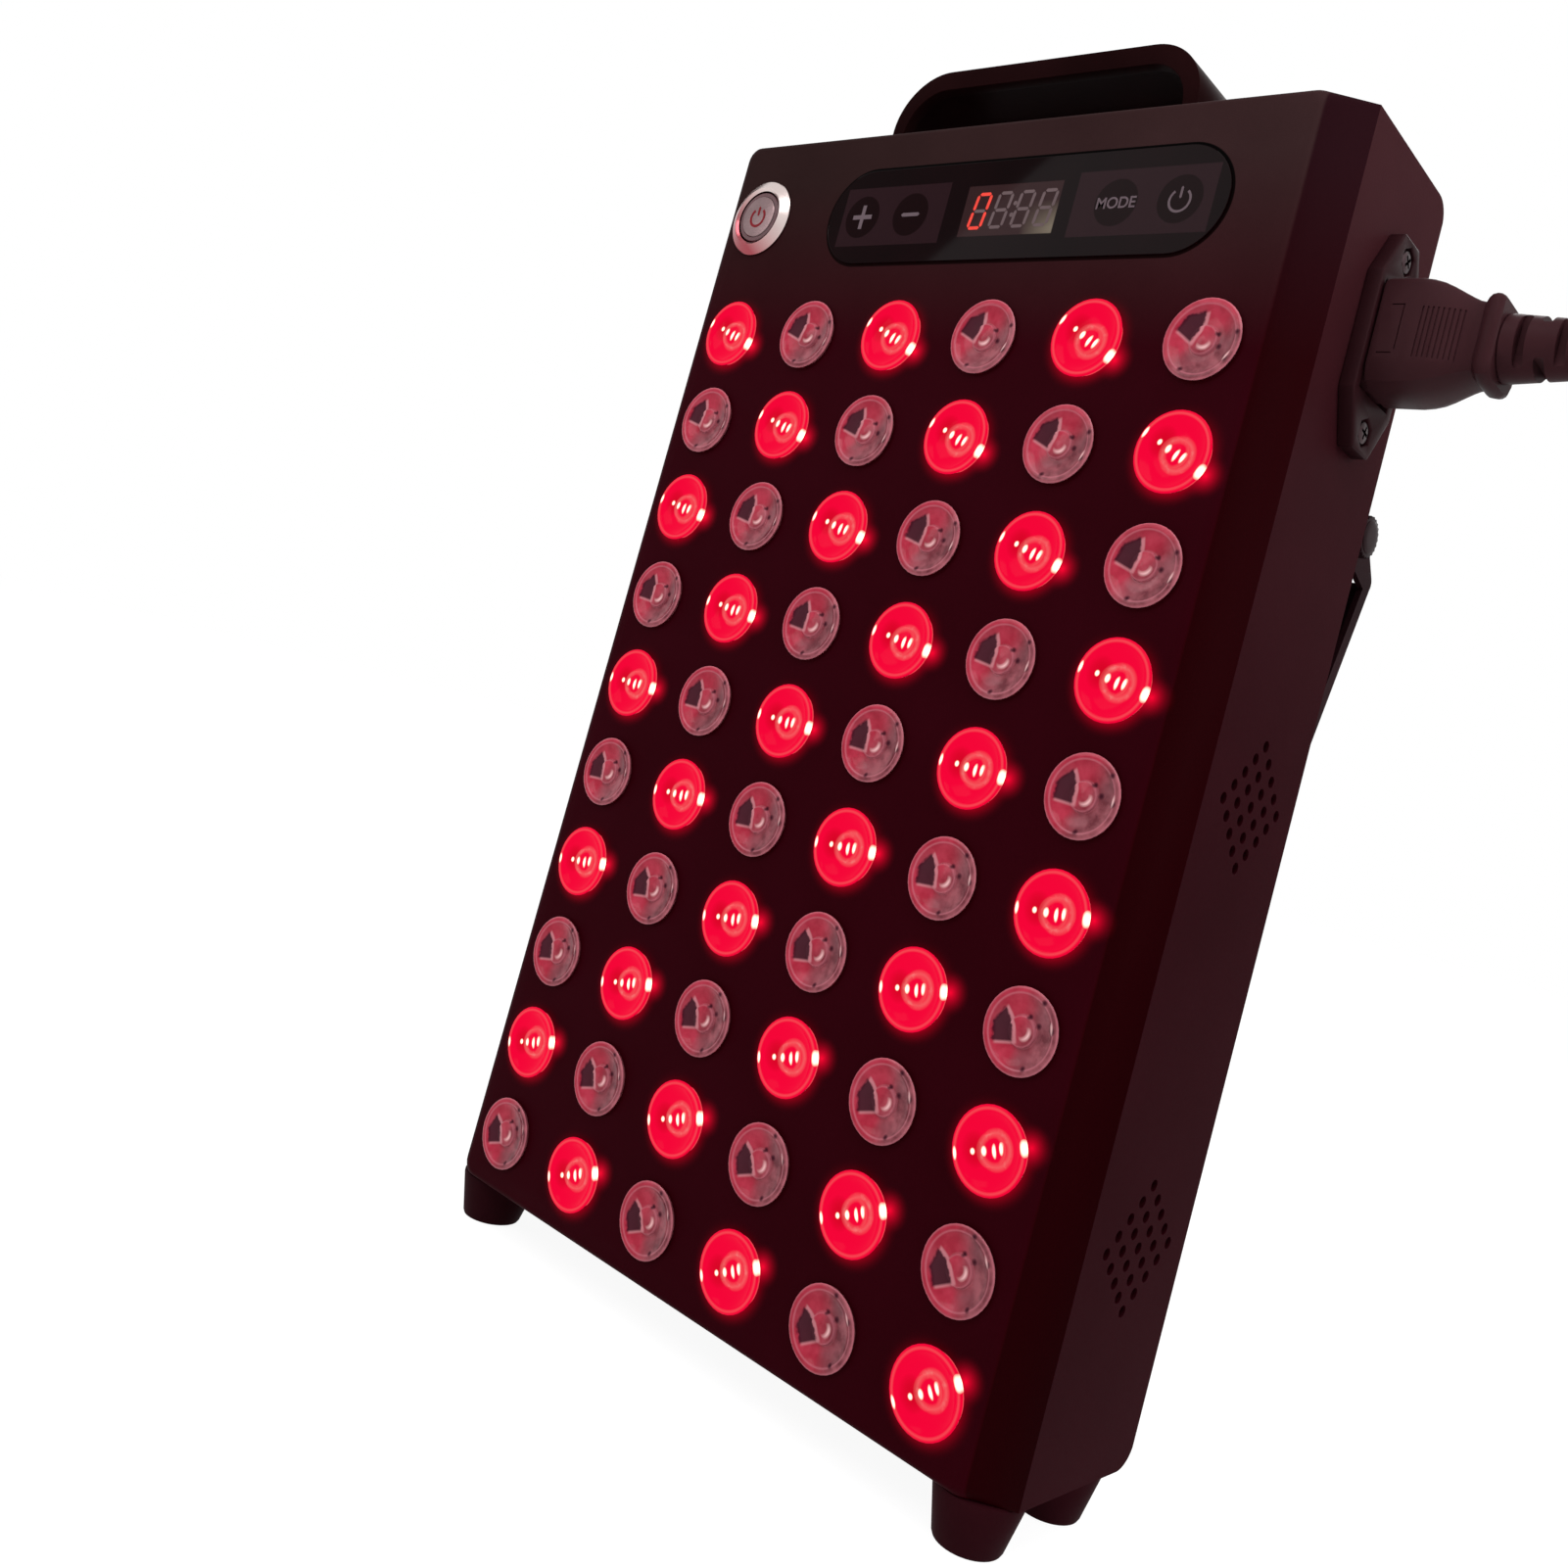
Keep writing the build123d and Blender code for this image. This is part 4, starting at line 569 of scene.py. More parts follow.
def unlit_lens():
    """A lens whose infrared chip shows no light: clear plastic, with painted red light from the lit
    lenses around it and painted highlights.
    """
    finish, tree, shader = plain_finish("unlit_lens", 0.14, 0.12)
    across, up, out = lens_polar(tree)
    cloudy = patches(tree, 0.003, 4.0, 0.35, 0.68)
    # Painted red light from the lit lenses, greyer towards the side the glints lie on
    clear = tinted(cloudy, (0.33, 0.014, 0.035), (0.42, 0.03, 0.06))
    greyer = tinted(cloudy, (0.13, 0.022, 0.032), (0.31, 0.08, 0.1))
    colour = tinted(stretched(up * -0.35 + across, -0.15, 0.45), clear, greyer)
    wedge = up.maths("SINE", up.maths("ARCTAN2", up, across) * 3.0)
    wedge = stretched(wedge, 0.0, 1.0) * ring(out, 0.55, 0.4)
    colour = tinted(wedge * 0.55, colour, (0.2, 0.06, 0.075))
    rims = highest(ring(out, 0.97, 0.05), ring(out, 0.84, 0.035), ring(out, 0.35, 0.05))
    colour = tinted(rims * 0.55, colour, (0.5, 0.15, 0.19))
    # A painted pale highlight along the dark patch's right and lower edge
    colour = tinted(dark_patch(across, up, 0.05) * 0.6, colour, (0.6, 0.26, 0.29))
    streak = noise(tree, own_coordinates(tree), 0.001, 3.0) * 0.1
    specks = [spot(across, up, centre, (reach, reach)) for centre, reach in UNLIT_SPECKS]
    dark = highest(dark_patch(across + streak, up, 0.0), *specks)
    colour = tinted(dark * 0.93, colour, (0.03, 0.004, 0.011))
    # Painted highlights: a crescent near the middle and a glint near the rim
    painted_crescent = ring(away_from(across - 0.02, up - 0.02), 0.2, 0.07)
    painted_crescent = painted_crescent * spot(across, up, (0.16, -0.1), (0.22, 0.2))
    bright = highest(painted_crescent, spot(across, up, (0.8, 0.08), (0.05, 0.16)))
    put(shader, "Base Color", tinted(bright * 0.9, colour, (0.85, 0.5, 0.5)))
    put(shader, "Specular IOR Level", dark * -0.11 + 0.12)
    return finish


def make_piece(name, bm, finish, replaced=(), body="panel", smooth=32, weld=True):
    """Finishes a piece drawn in millimetres: welded, facing outwards, placed and riding its body."""
    if weld:
        bmesh.ops.remove_doubles(bm, verts=bm.verts, dist=0.001)
        bmesh.ops.recalc_face_normals(bm, faces=bm.faces)
    bm.transform(ROW_FRAME)
    mesh = as_mesh(bm, name)
    mesh.materials.append(finish)
    mesh.shade_smooth()
    mesh.set_sharp_from_angle(angle=math.radians(smooth))
    piece = in_scene(name, mesh)
    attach(piece, body)
    if replaced:
        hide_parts(*replaced)
    return piece


def block(bm, x0, x1, y0, y1, z0, z1):
    """Adds a box between two corners."""
    made = bmesh.ops.create_cube(bm, size=1.0)["verts"]
    bmesh.ops.scale(bm, vec=(x1 - x0, y1 - y0, z1 - z0), verts=made)
    bmesh.ops.translate(bm, vec=((x0 + x1) / 2, (y0 + y1) / 2, (z0 + z1) / 2), verts=made)


def rounded(bm, edges, width, segments=2):
    """Rounds the given edges over."""
    bmesh.ops.bevel(bm, geom=edges, offset=width, offset_type="OFFSET", affect="EDGES",
                    segments=segments, profile=0.5, material=-1, clamp_overlap=True)


def turned(profile, steps):
    """A piece turned about the Y axis from its profile of (radius, y) points."""
    bm = bmesh.new()
    verts = [bm.verts.new((radius, y, 0.0)) for radius, y in profile]
    edges = [bm.edges.new(pair) for pair in zip(verts, verts[1:])]
    bmesh.ops.spin(bm, geom=verts + edges, cent=(0, 0, 0), axis=(0, 1, 0),
                   angle=2 * math.pi, steps=steps, use_merge=True)
    bmesh.ops.remove_doubles(bm, verts=bm.verts, dist=0.001)
    bmesh.ops.recalc_face_normals(bm, faces=bm.faces)
    return bm


def as_mesh(bm, name="shape"):
    """A mesh of a shape; the shape is used up."""
    mesh = bpy.data.meshes.new(name)
    bm.to_mesh(mesh)
    bm.free()
    return mesh


def add_mesh(bm, mesh, place):
    """Adds a mesh at its place to a shape that has lost no corners yet."""
    start = len(bm.verts)
    bm.from_mesh(mesh)
    bm.verts.ensure_lookup_table()
    bmesh.ops.transform(bm, matrix=place, verts=bm.verts[start:])


def add_shape(bm, shape):
    """Adds a shape to another where it stands; the added one is used up."""
    mesh = as_mesh(shape)
    bm.from_mesh(mesh)
    bpy.data.meshes.remove(mesh)


def repeated(master, *places):
    """Copies of one shape at each place; the master is used up."""
    mesh = as_mesh(master)
    bm = bmesh.new()
    for place in places:
        add_mesh(bm, mesh, place)
    bpy.data.meshes.remove(mesh)
    return bm


def carved(body, cutter):
    """The body with the cutter taken out of it; both are closed and are used up."""
    shapes = []
    for made in (body, cutter):
        bmesh.ops.recalc_face_normals(made, faces=made.faces)
        shapes.append(in_scene("carving", as_mesh(made)))
    cut = shapes[0].modifiers.new("cut", "BOOLEAN")
    cut.operation = "DIFFERENCE"
    cut.object = shapes[1]
    cut.solver = "EXACT"
    cut.use_self = True
    bpy.context.view_layer.update()
    seen = shapes[0].evaluated_get(bpy.context.evaluated_depsgraph_get())
    result = bmesh.new()
    result.from_mesh(seen.data)
    for shape in shapes:
        mesh = shape.data
        bpy.data.objects.remove(shape)
        bpy.data.meshes.remove(mesh)
    return result


def softened(node, width, finish, segments=2):
    """A CAD node's own shape with its hard edges rounded over, standing for that node."""
    bm = bmesh.new()
    bm.from_mesh(frame["nodes"][node].data)
    bm.transform(ROW_FRAME.inverted())
    bmesh.ops.remove_doubles(bm, verts=bm.verts, dist=0.002)
    bmesh.ops.dissolve_limit(bm, angle_limit=math.radians(1), verts=bm.verts, edges=bm.edges)
    hard = [edge for edge in bm.edges if edge.calc_face_angle(0.0) > math.radians(28)]
    rounded(bm, hard, width, segments)
    return make_piece(node + "_finished", bm, finish, (node,), body_of[node])


def drawn_out(bm, face, step):
    """Draws a face out by a step, and gives its moved corners and the face they carry."""
    drawn = bmesh.ops.extrude_face_region(bm, geom=[face])["geom"]
    corners = [item for item in drawn if isinstance(item, bmesh.types.BMVert)]
    bmesh.ops.translate(bm, vec=step, verts=corners)
    return corners, next(item for item in drawn if isinstance(item, bmesh.types.BMFace))


def add_bar(bm, radius, sides, start, end):
    """Adds a round bar between two points."""
    start = Vector(start)
    end = Vector(end)
    run = end - start
    turn = run.to_track_quat("Z", "Y").to_matrix().to_4x4()
    bmesh.ops.create_cone(bm, cap_ends=True, segments=sides, radius1=radius, radius2=radius,
                          depth=run.length, matrix=Matrix.Translation((start + end) / 2) @ turn)


def lens_places(lit):
    """The centres (x, z) of the red lenses or of the infrared ones, chequered."""
    places = []
    for row in range(ROWS):
        for column in range(COLUMNS):
            if ((column + row) % 2 == 0) == lit:
                x = (column - (COLUMNS - 1) / 2) * COLUMN_PITCH
                z = GRID_Z + ((ROWS - 1) / 2 - row) * ROW_PITCH
                places.append((x, z))
    return places


LENS_PROFILE = (
    (0.0, 1.2), (8.4, 1.2), (9.0, -0.6), (9.35, -0.75), (9.4, -0.95), (9.15, -1.15),
    (8.5, -1.2), (7.95, -1.12), (7.75, -0.95), (6.4, -0.35), (4.8, 0.0), (3.5, 0.1),
    (3.3, -0.5), (3.0, -0.62), (2.1, -0.68), (1.1, -0.95), (0.0, -1.05),
)


def lens_faces(slot, lit, finish):
    """The lenses' moulded faces: a rounded rim, a dished ring and a raised middle."""
    places = lens_places(lit)
    bm = repeated(turned(LENS_PROFILE, 36), *[Matrix.Translation((x, 0, z)) for x, z in places])
    layer = bm.loops.layers.uv.new("lens")
    for face in bm.faces:
        middle = face.calc_center_median()
        x, z = min(places, key=lambda p: (p[0] - middle.x) ** 2 + (p[1] - middle.z) ** 2)
        # Each lens's UV map is turned so that its painted glints lie towards GLINT_AIM
        aim = math.atan2(GLINT_AIM[1] - z, GLINT_AIM[0] - x)
        for loop in face.loops:
            dx = (loop.vert.co.x - x) / LENS_R
            dz = (loop.vert.co.z - z) / LENS_R
            loop[layer].uv = (
                0.5 + 0.5 * (dx * math.cos(aim) + dz * math.sin(aim)),
                0.5 + 0.5 * (dz * math.cos(aim) - dx * math.sin(aim)),
            )
    make_piece(slot + "_faces", bm, finish, (slot + "es",), weld=False, smooth=40)


LENS_HOLE_R = 9.1
BUTTON_HOLE_R = 8.2
# The cover's opening behind the overlay: x from and to, y from and to, z from and to
CONTROL_OPENING = (-44.7, 68.3, -2.0, SHEET + 2, 280.7, 298.7)


def front_cover(finish):
    """The pressed front: sloping sides, round lens holes, window and button hole."""
    height = CASE_TOP - CASE_BOTTOM
    middle = (CASE_TOP + CASE_BOTTOM) / 2
    body = bmesh.new()
    corners = []
    for quarter, (side, top) in enumerate(((1, 1), (-1, 1), (-1, -1), (1, -1))):
        seam = body.verts.new((side * HALF_W, SEAM_Y, middle + top * height / 2))
        arc = []
        for i in range(7):
            angle = (quarter + i / 6) * math.pi / 2
            x = side * (FACE_HALF_W - CORNER_R) + CORNER_R * math.cos(angle)
            z = middle + top * (height / 2 - CORNER_R) + CORNER_R * math.sin(angle)
            arc.append(body.verts.new((x, 0.0, z)))
        for pair in zip(arc, arc[1:]):
            body.faces.new((*pair, seam))
        corners.append((arc, seam))
    for (arc, seam), (next_arc, next_seam) in zip(corners, corners[1:] + corners[:1]):
        body.faces.new((arc[-1], next_arc[0], next_seam, seam))
    body.faces.new([vert for arc, seam in corners for vert in arc])
    body.faces.new([seam for arc, seam in corners])
    bmesh.ops.recalc_face_normals(body, faces=body.faces)
    rounded(body, [e for e in body.edges if all(abs(v.co.y) < 0.01 for v in e.verts)], 1.7, 4)
    outline = ((-FACE_HALF_W + 1.0, SHEET), (FACE_HALF_W - 1.0, SHEET),
               (HALF_W - 1.9, SEAM_Y + 1), (-HALF_W + 1.9, SEAM_Y + 1))
    hollow = bmesh.new()
    face = hollow.faces.new([hollow.verts.new((x, y, CASE_BOTTOM + SHEET)) for x, y in outline])
    drawn_out(hollow, face, (0, 0, height - 2 * SHEET))
    body = carved(body, hollow)
    holes = bmesh.new()
    for x, z in lens_places(True) + lens_places(False):
        add_bar(holes, LENS_HOLE_R, 40, (x, -2, z), (x, SHEET + 2, z))
    add_bar(holes, BUTTON_HOLE_R, 40, (BUTTON[0], -2, BUTTON[1]), (BUTTON[0], SHEET + 2, BUTTON[1]))
    block(holes, *CONTROL_OPENING)
    body = carved(body, holes)
    make_piece("front_cover_skin", body, finish, ("front_cover",), smooth=35)


VENT_Y = 32.0
VENT_Z = (64.3, 162.5)
VENT_STEP = 3.447
VENT_HOLE_R = 1.35
FAN_SLOT_PITCH = 6.6
FAN_SLOT_HALF = 1.98
FAN_SLOT_REACH = 31.02
INLET_Y = 33.2
INLET_Z = 269.4
INLET_HALF_W = 10.1
INLET_HALF_H = 13.8


def rear_casing(finish):
    """The sheet box behind the seam, with round vent holes, fan slots and the inlet's opening."""
    body = bmesh.new()
    block(body, -HALF_W, HALF_W, SEAM_Y, CASE_D, CASE_BOTTOM, CASE_TOP)
    level = [e for e in body.edges if all(abs(v.co.y - CASE_D) < 0.01 for v in e.verts)
             and abs(e.verts[0].co.z - e.verts[1].co.z) < 0.01]
    rounded(body, level, 5.5, 8)
    upright = [e for e in body.edges if abs(e.verts[0].co.z - e.verts[1].co.z) > 100
               and all(abs(v.co.y - CASE_D) < 0.01 for v in e.verts)]
    rounded(body, upright, 1.4, 4)
    hollow = bmesh.new()
    block(hollow, -HALF_W + SHEET, HALF_W - SHEET, SEAM_Y - 1, CASE_D - SHEET,
          CASE_BOTTOM + SHEET, CASE_TOP - SHEET)
    body = carved(body, hollow)
    holes = bmesh.new()
    for centre in VENT_Z:
        for i in range(5):
            for j in range(5):
                y = VENT_Y + (i - j) * VENT_STEP
                z = centre + (i + j - 4) * VENT_STEP
                add_bar(holes, VENT_HOLE_R, 16, (HALF_W - 4, y, z), (HALF_W + 2, y, z))
        for i in range(9):
            dz = (i - 4) * FAN_SLOT_PITCH
            half = math.sqrt(FAN_SLOT_REACH ** 2 - dz ** 2)
            block(holes, -half, half, CASE_D - 4, CASE_D + 2,
                  centre + dz - FAN_SLOT_HALF, centre + dz + FAN_SLOT_HALF)
    block(holes, HALF_W - 4, HALF_W + 2, INLET_Y - INLET_HALF_W, INLET_Y + INLET_HALF_W,
          INLET_Z - INLET_HALF_H, INLET_Z + INLET_HALF_H)
    body = carved(body, holes)
    make_piece("rear_casing_skin", body, finish, ("rear_casing",), smooth=35)


OVERLAY_X = 11.8
OVERLAY_HALF_W = 60.5
OVERLAY_Z = 289.7
OVERLAY_HALF_H = 13.0
OVERLAY_T = 0.4
PRINT_T = 0.03
PRINT_Y = -OVERLAY_T - PRINT_T
KEY_X = (-36.7, -19.9, 42.9, 59.9)
KEY_R = 5.8
# The overlay's printed fields and its window: x from and to, z from and to
KEY_FIELDS = ((-44.0, -8.4, 281.6, 297.8), (31.0, 68.5, 281.6, 297.8))
WINDOW = (-2.2, 26.6, 282.9, 296.2)


def control_overlay():
    """The glossy sheet with round ends that covers the keys and the display."""
    bm = bmesh.new()
    block(bm, OVERLAY_X - OVERLAY_HALF_W, OVERLAY_X + OVERLAY_HALF_W, -OVERLAY_T, 0,
          OVERLAY_Z - OVERLAY_HALF_H, OVERLAY_Z + OVERLAY_HALF_H)
    corners = [e for e in bm.edges if abs(e.verts[0].co.y - e.verts[1].co.y) > 0.1]
    rounded(bm, corners, OVERLAY_HALF_H - 0.02, 16)
    rim = [e for e in bm.edges if all(v.co.y < -OVERLAY_T + 0.01 for v in e.verts)]
    rounded(bm, rim, 0.15, 2)
    make_piece("overlay_sheet", bm, overlay_print(), ("control_overlay",),
               smooth=10)


def add_plate(bm, outline, y=PRINT_Y, depth=PRINT_T):
    """Adds a flat plate: its outline of (x, z) points at one y, drawn back by its depth."""
    face = bm.faces.new([bm.verts.new((x, y, z)) for x, z in outline])
    drawn_out(bm, face, (0, depth, 0))


def add_stroke(bm, start, end, width, y=PRINT_Y, depth=PRINT_T):
    """Adds a flat stroke with pointed ends between two (x, z) points."""
    start = Vector(start)
    end = Vector(end)
    along = (end - start).normalized() * width / 2
    side = Vector((-along.y, along.x))
    outline = (start, start + along + side, end - along + side, end, end - along - side,
               start + along - side)
    add_plate(bm, [(point.x, point.y) for point in outline], y, depth)


def add_arc(bm, centre, radius, width, start, sweep, y, depth):
    """Adds a flat curved stroke round a centre, from a start angle through a sweep."""
    x, z = centre
    across = Vector((math.cos(start), 0, math.sin(start)))
    middle = Vector((x, 0, z))
    corners = []
    for out, level in ((-1, y), (1, y), (1, y + depth), (-1, y + depth)):
        corners.append(middle + across * (radius + out * width / 2) + Vector((0, level, 0)))
    face = bm.faces.new([bm.verts.new(corner) for corner in corners])
    bmesh.ops.spin(bm, geom=[face, *face.edges, *face.verts], cent=middle, axis=(0, -1, 0),
                   angle=sweep, steps=20)


def add_power_sign(bm, centre, radius, width, y=PRINT_Y, depth=PRINT_T):
    """Adds the generic on and off sign: an open ring with a short upright bar."""
    gap = math.radians(38)
    add_arc(bm, centre, radius, width, math.pi / 2 + gap, 2 * math.pi - 2 * gap, y, depth)
    add_stroke(bm, (centre[0], centre[1] + radius * 0.15), (centre[0], centre[1] + radius * 1.25),
               width, y, depth)


def key_signs(finish):
    """The printing on the four keys: plus, minus, MODE and the on and off sign."""
    bm = bmesh.new()
    plus, minus, mode, power = KEY_X
    arm = 3.3
    half = 0.6
    cross = ((half, half), (half, arm), (-half, arm), (-half, half), (-arm, half), (-arm, -half),
             (-half, -half), (-half, -arm), (half, -arm), (half, -half), (arm, -half), (arm, half))
    add_plate(bm, [(plus + dx, OVERLAY_Z + dz) for dx, dz in cross])
    add_stroke(bm, (minus - 3.1, OVERLAY_Z), (minus + 3.1, OVERLAY_Z), 1.0)
    add_power_sign(bm, (power, OVERLAY_Z - 0.3), 2.7, 0.6)
    words = bpy.data.curves.new("mode_word", "FONT")
    words.body = "MODE"
    words.size = 3.9
    words.align_x = "CENTER"
    words.offset = 0.06
    words.extrude = PRINT_T / 2
    holder = in_scene("mode_word", words)
    bpy.context.view_layer.update()
    seen = holder.evaluated_get(bpy.context.evaluated_depsgraph_get())
    lettering = bpy.data.meshes.new_from_object(seen)
    bpy.data.objects.remove(holder)
    bpy.data.curves.remove(words)
    upright = Matrix.Rotation(math.pi / 2, 4, "X")
    place = Matrix.Translation((mode, PRINT_Y + PRINT_T / 2, OVERLAY_Z - 1.35)) @ upright
    add_mesh(bm, lettering, place @ Matrix.Diagonal((0.98, 1.0, 1.0, 1.0)))
    bpy.data.meshes.remove(lettering)
    make_piece("key_signs", bm, finish)


DIGIT_X = (2.4, 9.0, 15.7, 22.4)
DIGIT_W = 3.9
DIGIT_H = 8.8
DIGIT_Z = 285.1
SEGMENT_W = 0.85
DOT_R = 0.58
DIGIT_SLANT = math.radians(8)


def add_digit(bm, x, segments):
    """Adds one slanted digit of straight segments, given by their ends on a 1 by 2 grid."""
    for start, end in segments:
        ends = []
        for column, row in (start, end):
            rise = row * DIGIT_H / 2
            ends.append(Vector((x + (column - 0.5) * DIGIT_W + rise * math.tan(DIGIT_SLANT),
                                DIGIT_Z + rise)))
        gap = (ends[1] - ends[0]).normalized() * 0.2
        add_stroke(bm, ends[0] + gap, ends[1] - gap, SEGMENT_W)


def display_digits(lit, unlit):
    """The clock's four digits and its colon: a lit nought, and three with every segment dark."""
    outer = (
        ((0, 0), (1, 0)), ((0, 2), (1, 2)), ((0, 0), (0, 1)),
        ((0, 1), (0, 2)), ((1, 0), (1, 1)), ((1, 1), (1, 2)),
    )
    bar = ((0, 1), (1, 1))
    bm = bmesh.new()
    add_digit(bm, DIGIT_X[0], outer)
    make_piece("lit_digit", bm, lit)
    bm = bmesh.new()
    add_digit(bm, DIGIT_X[0], (bar,))
    for x in DIGIT_X[1:]:
        add_digit(bm, x, (*outer, bar))
    middle = (DIGIT_X[1] + DIGIT_X[2]) / 2 + 0.6
    for dz in (3.0, 6.0):
        dot = []
        for i in range(12):
            angle = i * math.pi / 6
            dot.append((middle + dz * 0.1 + DOT_R * math.cos(angle),
                        DIGIT_Z + dz + DOT_R * math.sin(angle)))
        add_plate(bm, dot)
    make_piece("unlit_digits", bm, unlit)


# The button's turned parts: name, CAD node, finish, steps round and profile of (radius, y)
BUTTON_PARTS = (
    ("button_bezel_turned", "button_bezel", "button_steel", 56, (
        (7.6, 12.9), (8.1, 12.9), (8.1, 0.0), (10.75, 0.0), (10.9, -0.15), (10.9, -0.5),
        (10.7, -0.75), (8.7, -1.88), (8.5, -2.0), (8.3, -2.0), (8.15, -1.9), (7.65, -1.45),
        (7.6, 12.9),
    )),
    ("button_ring", "button_cap", "button_ring", 48, (
        (0.0, 4.2), (7.2, 4.2), (7.2, -1.2), (7.05, -1.38), (6.2, -1.4), (6.05, -1.4),
        (6.05, 4.0), (0.0, 4.0),
    )),
    ("button_face", "button_cap", "button_disc_steel", 48, (
        (0.0, -1.72), (5.5, -1.72), (5.8, -1.68), (5.95, -1.5), (5.95, -0.2), (0.0, -0.2),
    )),
)


def power_button(finishes):
    """The metal push button: chamfered bezel, sprung cap with its ring, and the sign on it."""
    place = Matrix.Translation((BUTTON[0], 0, BUTTON[1]))
    for name, node, finish, steps, profile in BUTTON_PARTS:
        make_piece(name, repeated(turned(profile, steps), place), finishes[finish],
                   (node,), body_of[node], smooth=20)
    bm = bmesh.new()
    add_power_sign(bm, (BUTTON[0], BUTTON[1] - 0.3), 2.6, 0.75, -1.78, 0.1)
    make_piece("button_sign", bm, finishes["button_sign"], ("button_cap",),
               "power_button")


def cross_head_screw(head_r, head_h, shank):
    """A screw along Y with a rounded head towards -Y and a cross cut into it."""
    body = turned(
        (
            (0.0, shank), (head_r * 0.5, shank), (head_r * 0.53, 0.0), (head_r, 0.0),
            (head_r, -head_h * 0.45), (head_r * 0.86, -head_h * 0.84), (head_r * 0.55, -head_h),
            (0.0, -head_h),
        ),
        24,
    )
    arm = head_r * 0.55
    half = head_r * 0.13
    for x, z in ((arm, half), (half, arm)):
        slot = bmesh.new()
        block(slot, -x, x, -head_h - 1, -head_h * 0.45, -z, z)
        body = carved(body, slot)
    return body


def screws(name, node, places, finish, head_r=3.25, head_h=2.1, shank=3.0):
    """Cross-head screws standing for a node, each turned so that its head faces outwards."""
    bm = repeated(cross_head_screw(head_r, head_h, shank), *places)
    make_piece(name, bm, finish, (node,), smooth=28)


def facing(direction, spot, spin):
    """The place of a screw whose head faces one way, with its cross turned a little."""
    turn = {
        "right": Matrix.Rotation(math.pi / 2, 4, "Z"),
        "back": Matrix.Rotation(math.pi, 4, "Z"),
        "up": Matrix.Rotation(-math.pi / 2, 4, "X"),
        "down": Matrix.Rotation(math.pi / 2, 4, "X"),
    }[direction]
    return Matrix.Translation(spot) @ turn @ Matrix.Rotation(spin, 4, "Y")


FAN_SCREW_INSET = 31.7
COVER_SCREW_X = 67.6
COVER_SCREW_Y = 13.5
HINGE_Y = 61.2
HINGE_Z = 233.3
BRACKET_SCREW_X = 82.8
BRACKET_SCREW_DZ = 7.5
INLET_SCREW_X = 98.85
INLET_SCREW_DZ = 20.0


def all_screws(steel, dark_steel):
    """Every screw whose head shows: casing, fans, stand brackets and inlet."""
    casing = []
    for i, x in enumerate((-COVER_SCREW_X, 0.0, COVER_SCREW_X)):
        casing.append(facing("up", (x, COVER_SCREW_Y, CASE_TOP), 0.4 * i))
        casing.append(facing("down", (x, COVER_SCREW_Y, CASE_BOTTOM), 0.9 * i))
    screws("casing_screw_heads", "cover_screws", casing, dark_steel)
    inset = (-FAN_SCREW_INSET, FAN_SCREW_INSET)
    fans = [facing("back", (dx, CASE_D, centre + dz), (dx + dz + centre) * 0.3)
            for centre in VENT_Z for dx in inset for dz in inset]
    screws("fan_screw_heads", "fan_screws", fans, steel)
    brackets = [facing("back", (x, CASE_D + SHEET, HINGE_Z + dz), x + dz)
                for x in (-BRACKET_SCREW_X, BRACKET_SCREW_X)
                for dz in (-BRACKET_SCREW_DZ, BRACKET_SCREW_DZ)]
    screws("bracket_screw_heads", "bracket_screws", brackets, steel, 1.7, 1.45, 1.0)
    inlet = [facing("right", (INLET_SCREW_X, INLET_Y, INLET_Z + dz), turn)
             for dz, turn in ((-INLET_SCREW_DZ, 0.2), (INLET_SCREW_DZ, 0.75))]
    screws("inlet_screw_heads", "inlet_screws", inlet, dark_steel, 2.8, 2.05, 5.0)


def moulded_body(stations, upper, lower):
    """A body along X through stations of (x, width, height), with its upright corners cut round."""
    bm = bmesh.new()
    x, width, height = stations[0]
    verts = []
    for quarter, (side, top, cut, steps) in enumerate((
        (1, 1, upper, 4),
        (-1, 1, upper, 4),
        (-1, -1, lower, 2),
        (1, -1, lower, 2),
    )):
        for i in range(steps + 1):
            angle = (quarter + i / steps) * math.pi / 2
            y = side * (width / 2 - cut) + cut * math.cos(angle)
            z = top * (height / 2 - cut) + cut * math.sin(angle)
            verts.append(bm.verts.new((x, y, z)))
    face = bm.faces.new(verts)
    for i, (next_x, next_width, next_height) in enumerate(stations[1:]):
        corners, next_face = drawn_out(bm, face, (next_x - x, 0, 0))
        bmesh.ops.scale(bm, vec=(1.0, next_width / width, next_height / height), verts=corners)
        if i:
            bm.faces.remove(face)
        face = next_face
        x, width, height = next_x, next_width, next_height
    bmesh.ops.recalc_face_normals(bm, faces=bm.faces)
    return bm


CONNECTOR_STATIONS = (
    (86.4, 16.4, 23.4), (101.3, 16.4, 23.4), (101.35, 18.8, 23.6), (101.6, 19.6, 24.2),
    (102.2, 20.0, 24.6), (109.5, 20.0, 24.6), (112.0, 19.7, 24.0), (114.3, 19.0, 22.9),
    (116.5, 17.7, 21.2), (118.7, 16.1, 19.2), (120.6, 14.8, 17.5), (122.0, 14.1, 16.4),
    (123.2, 13.9, 16.0), (123.5, 14.6, 16.5), (124.0, 15.8, 17.6), (124.7, 16.7, 18.5),
    (125.6, 17.0, 18.8), (126.4, 16.8, 18.6), (127.1, 16.1, 17.9), (127.5, 15.2, 17.0),
)
CONNECTOR_HALF_W = 10.0
RIB_FIRST = 111.2
RIB_STEP = 1.05
RIB_COUNT = 9


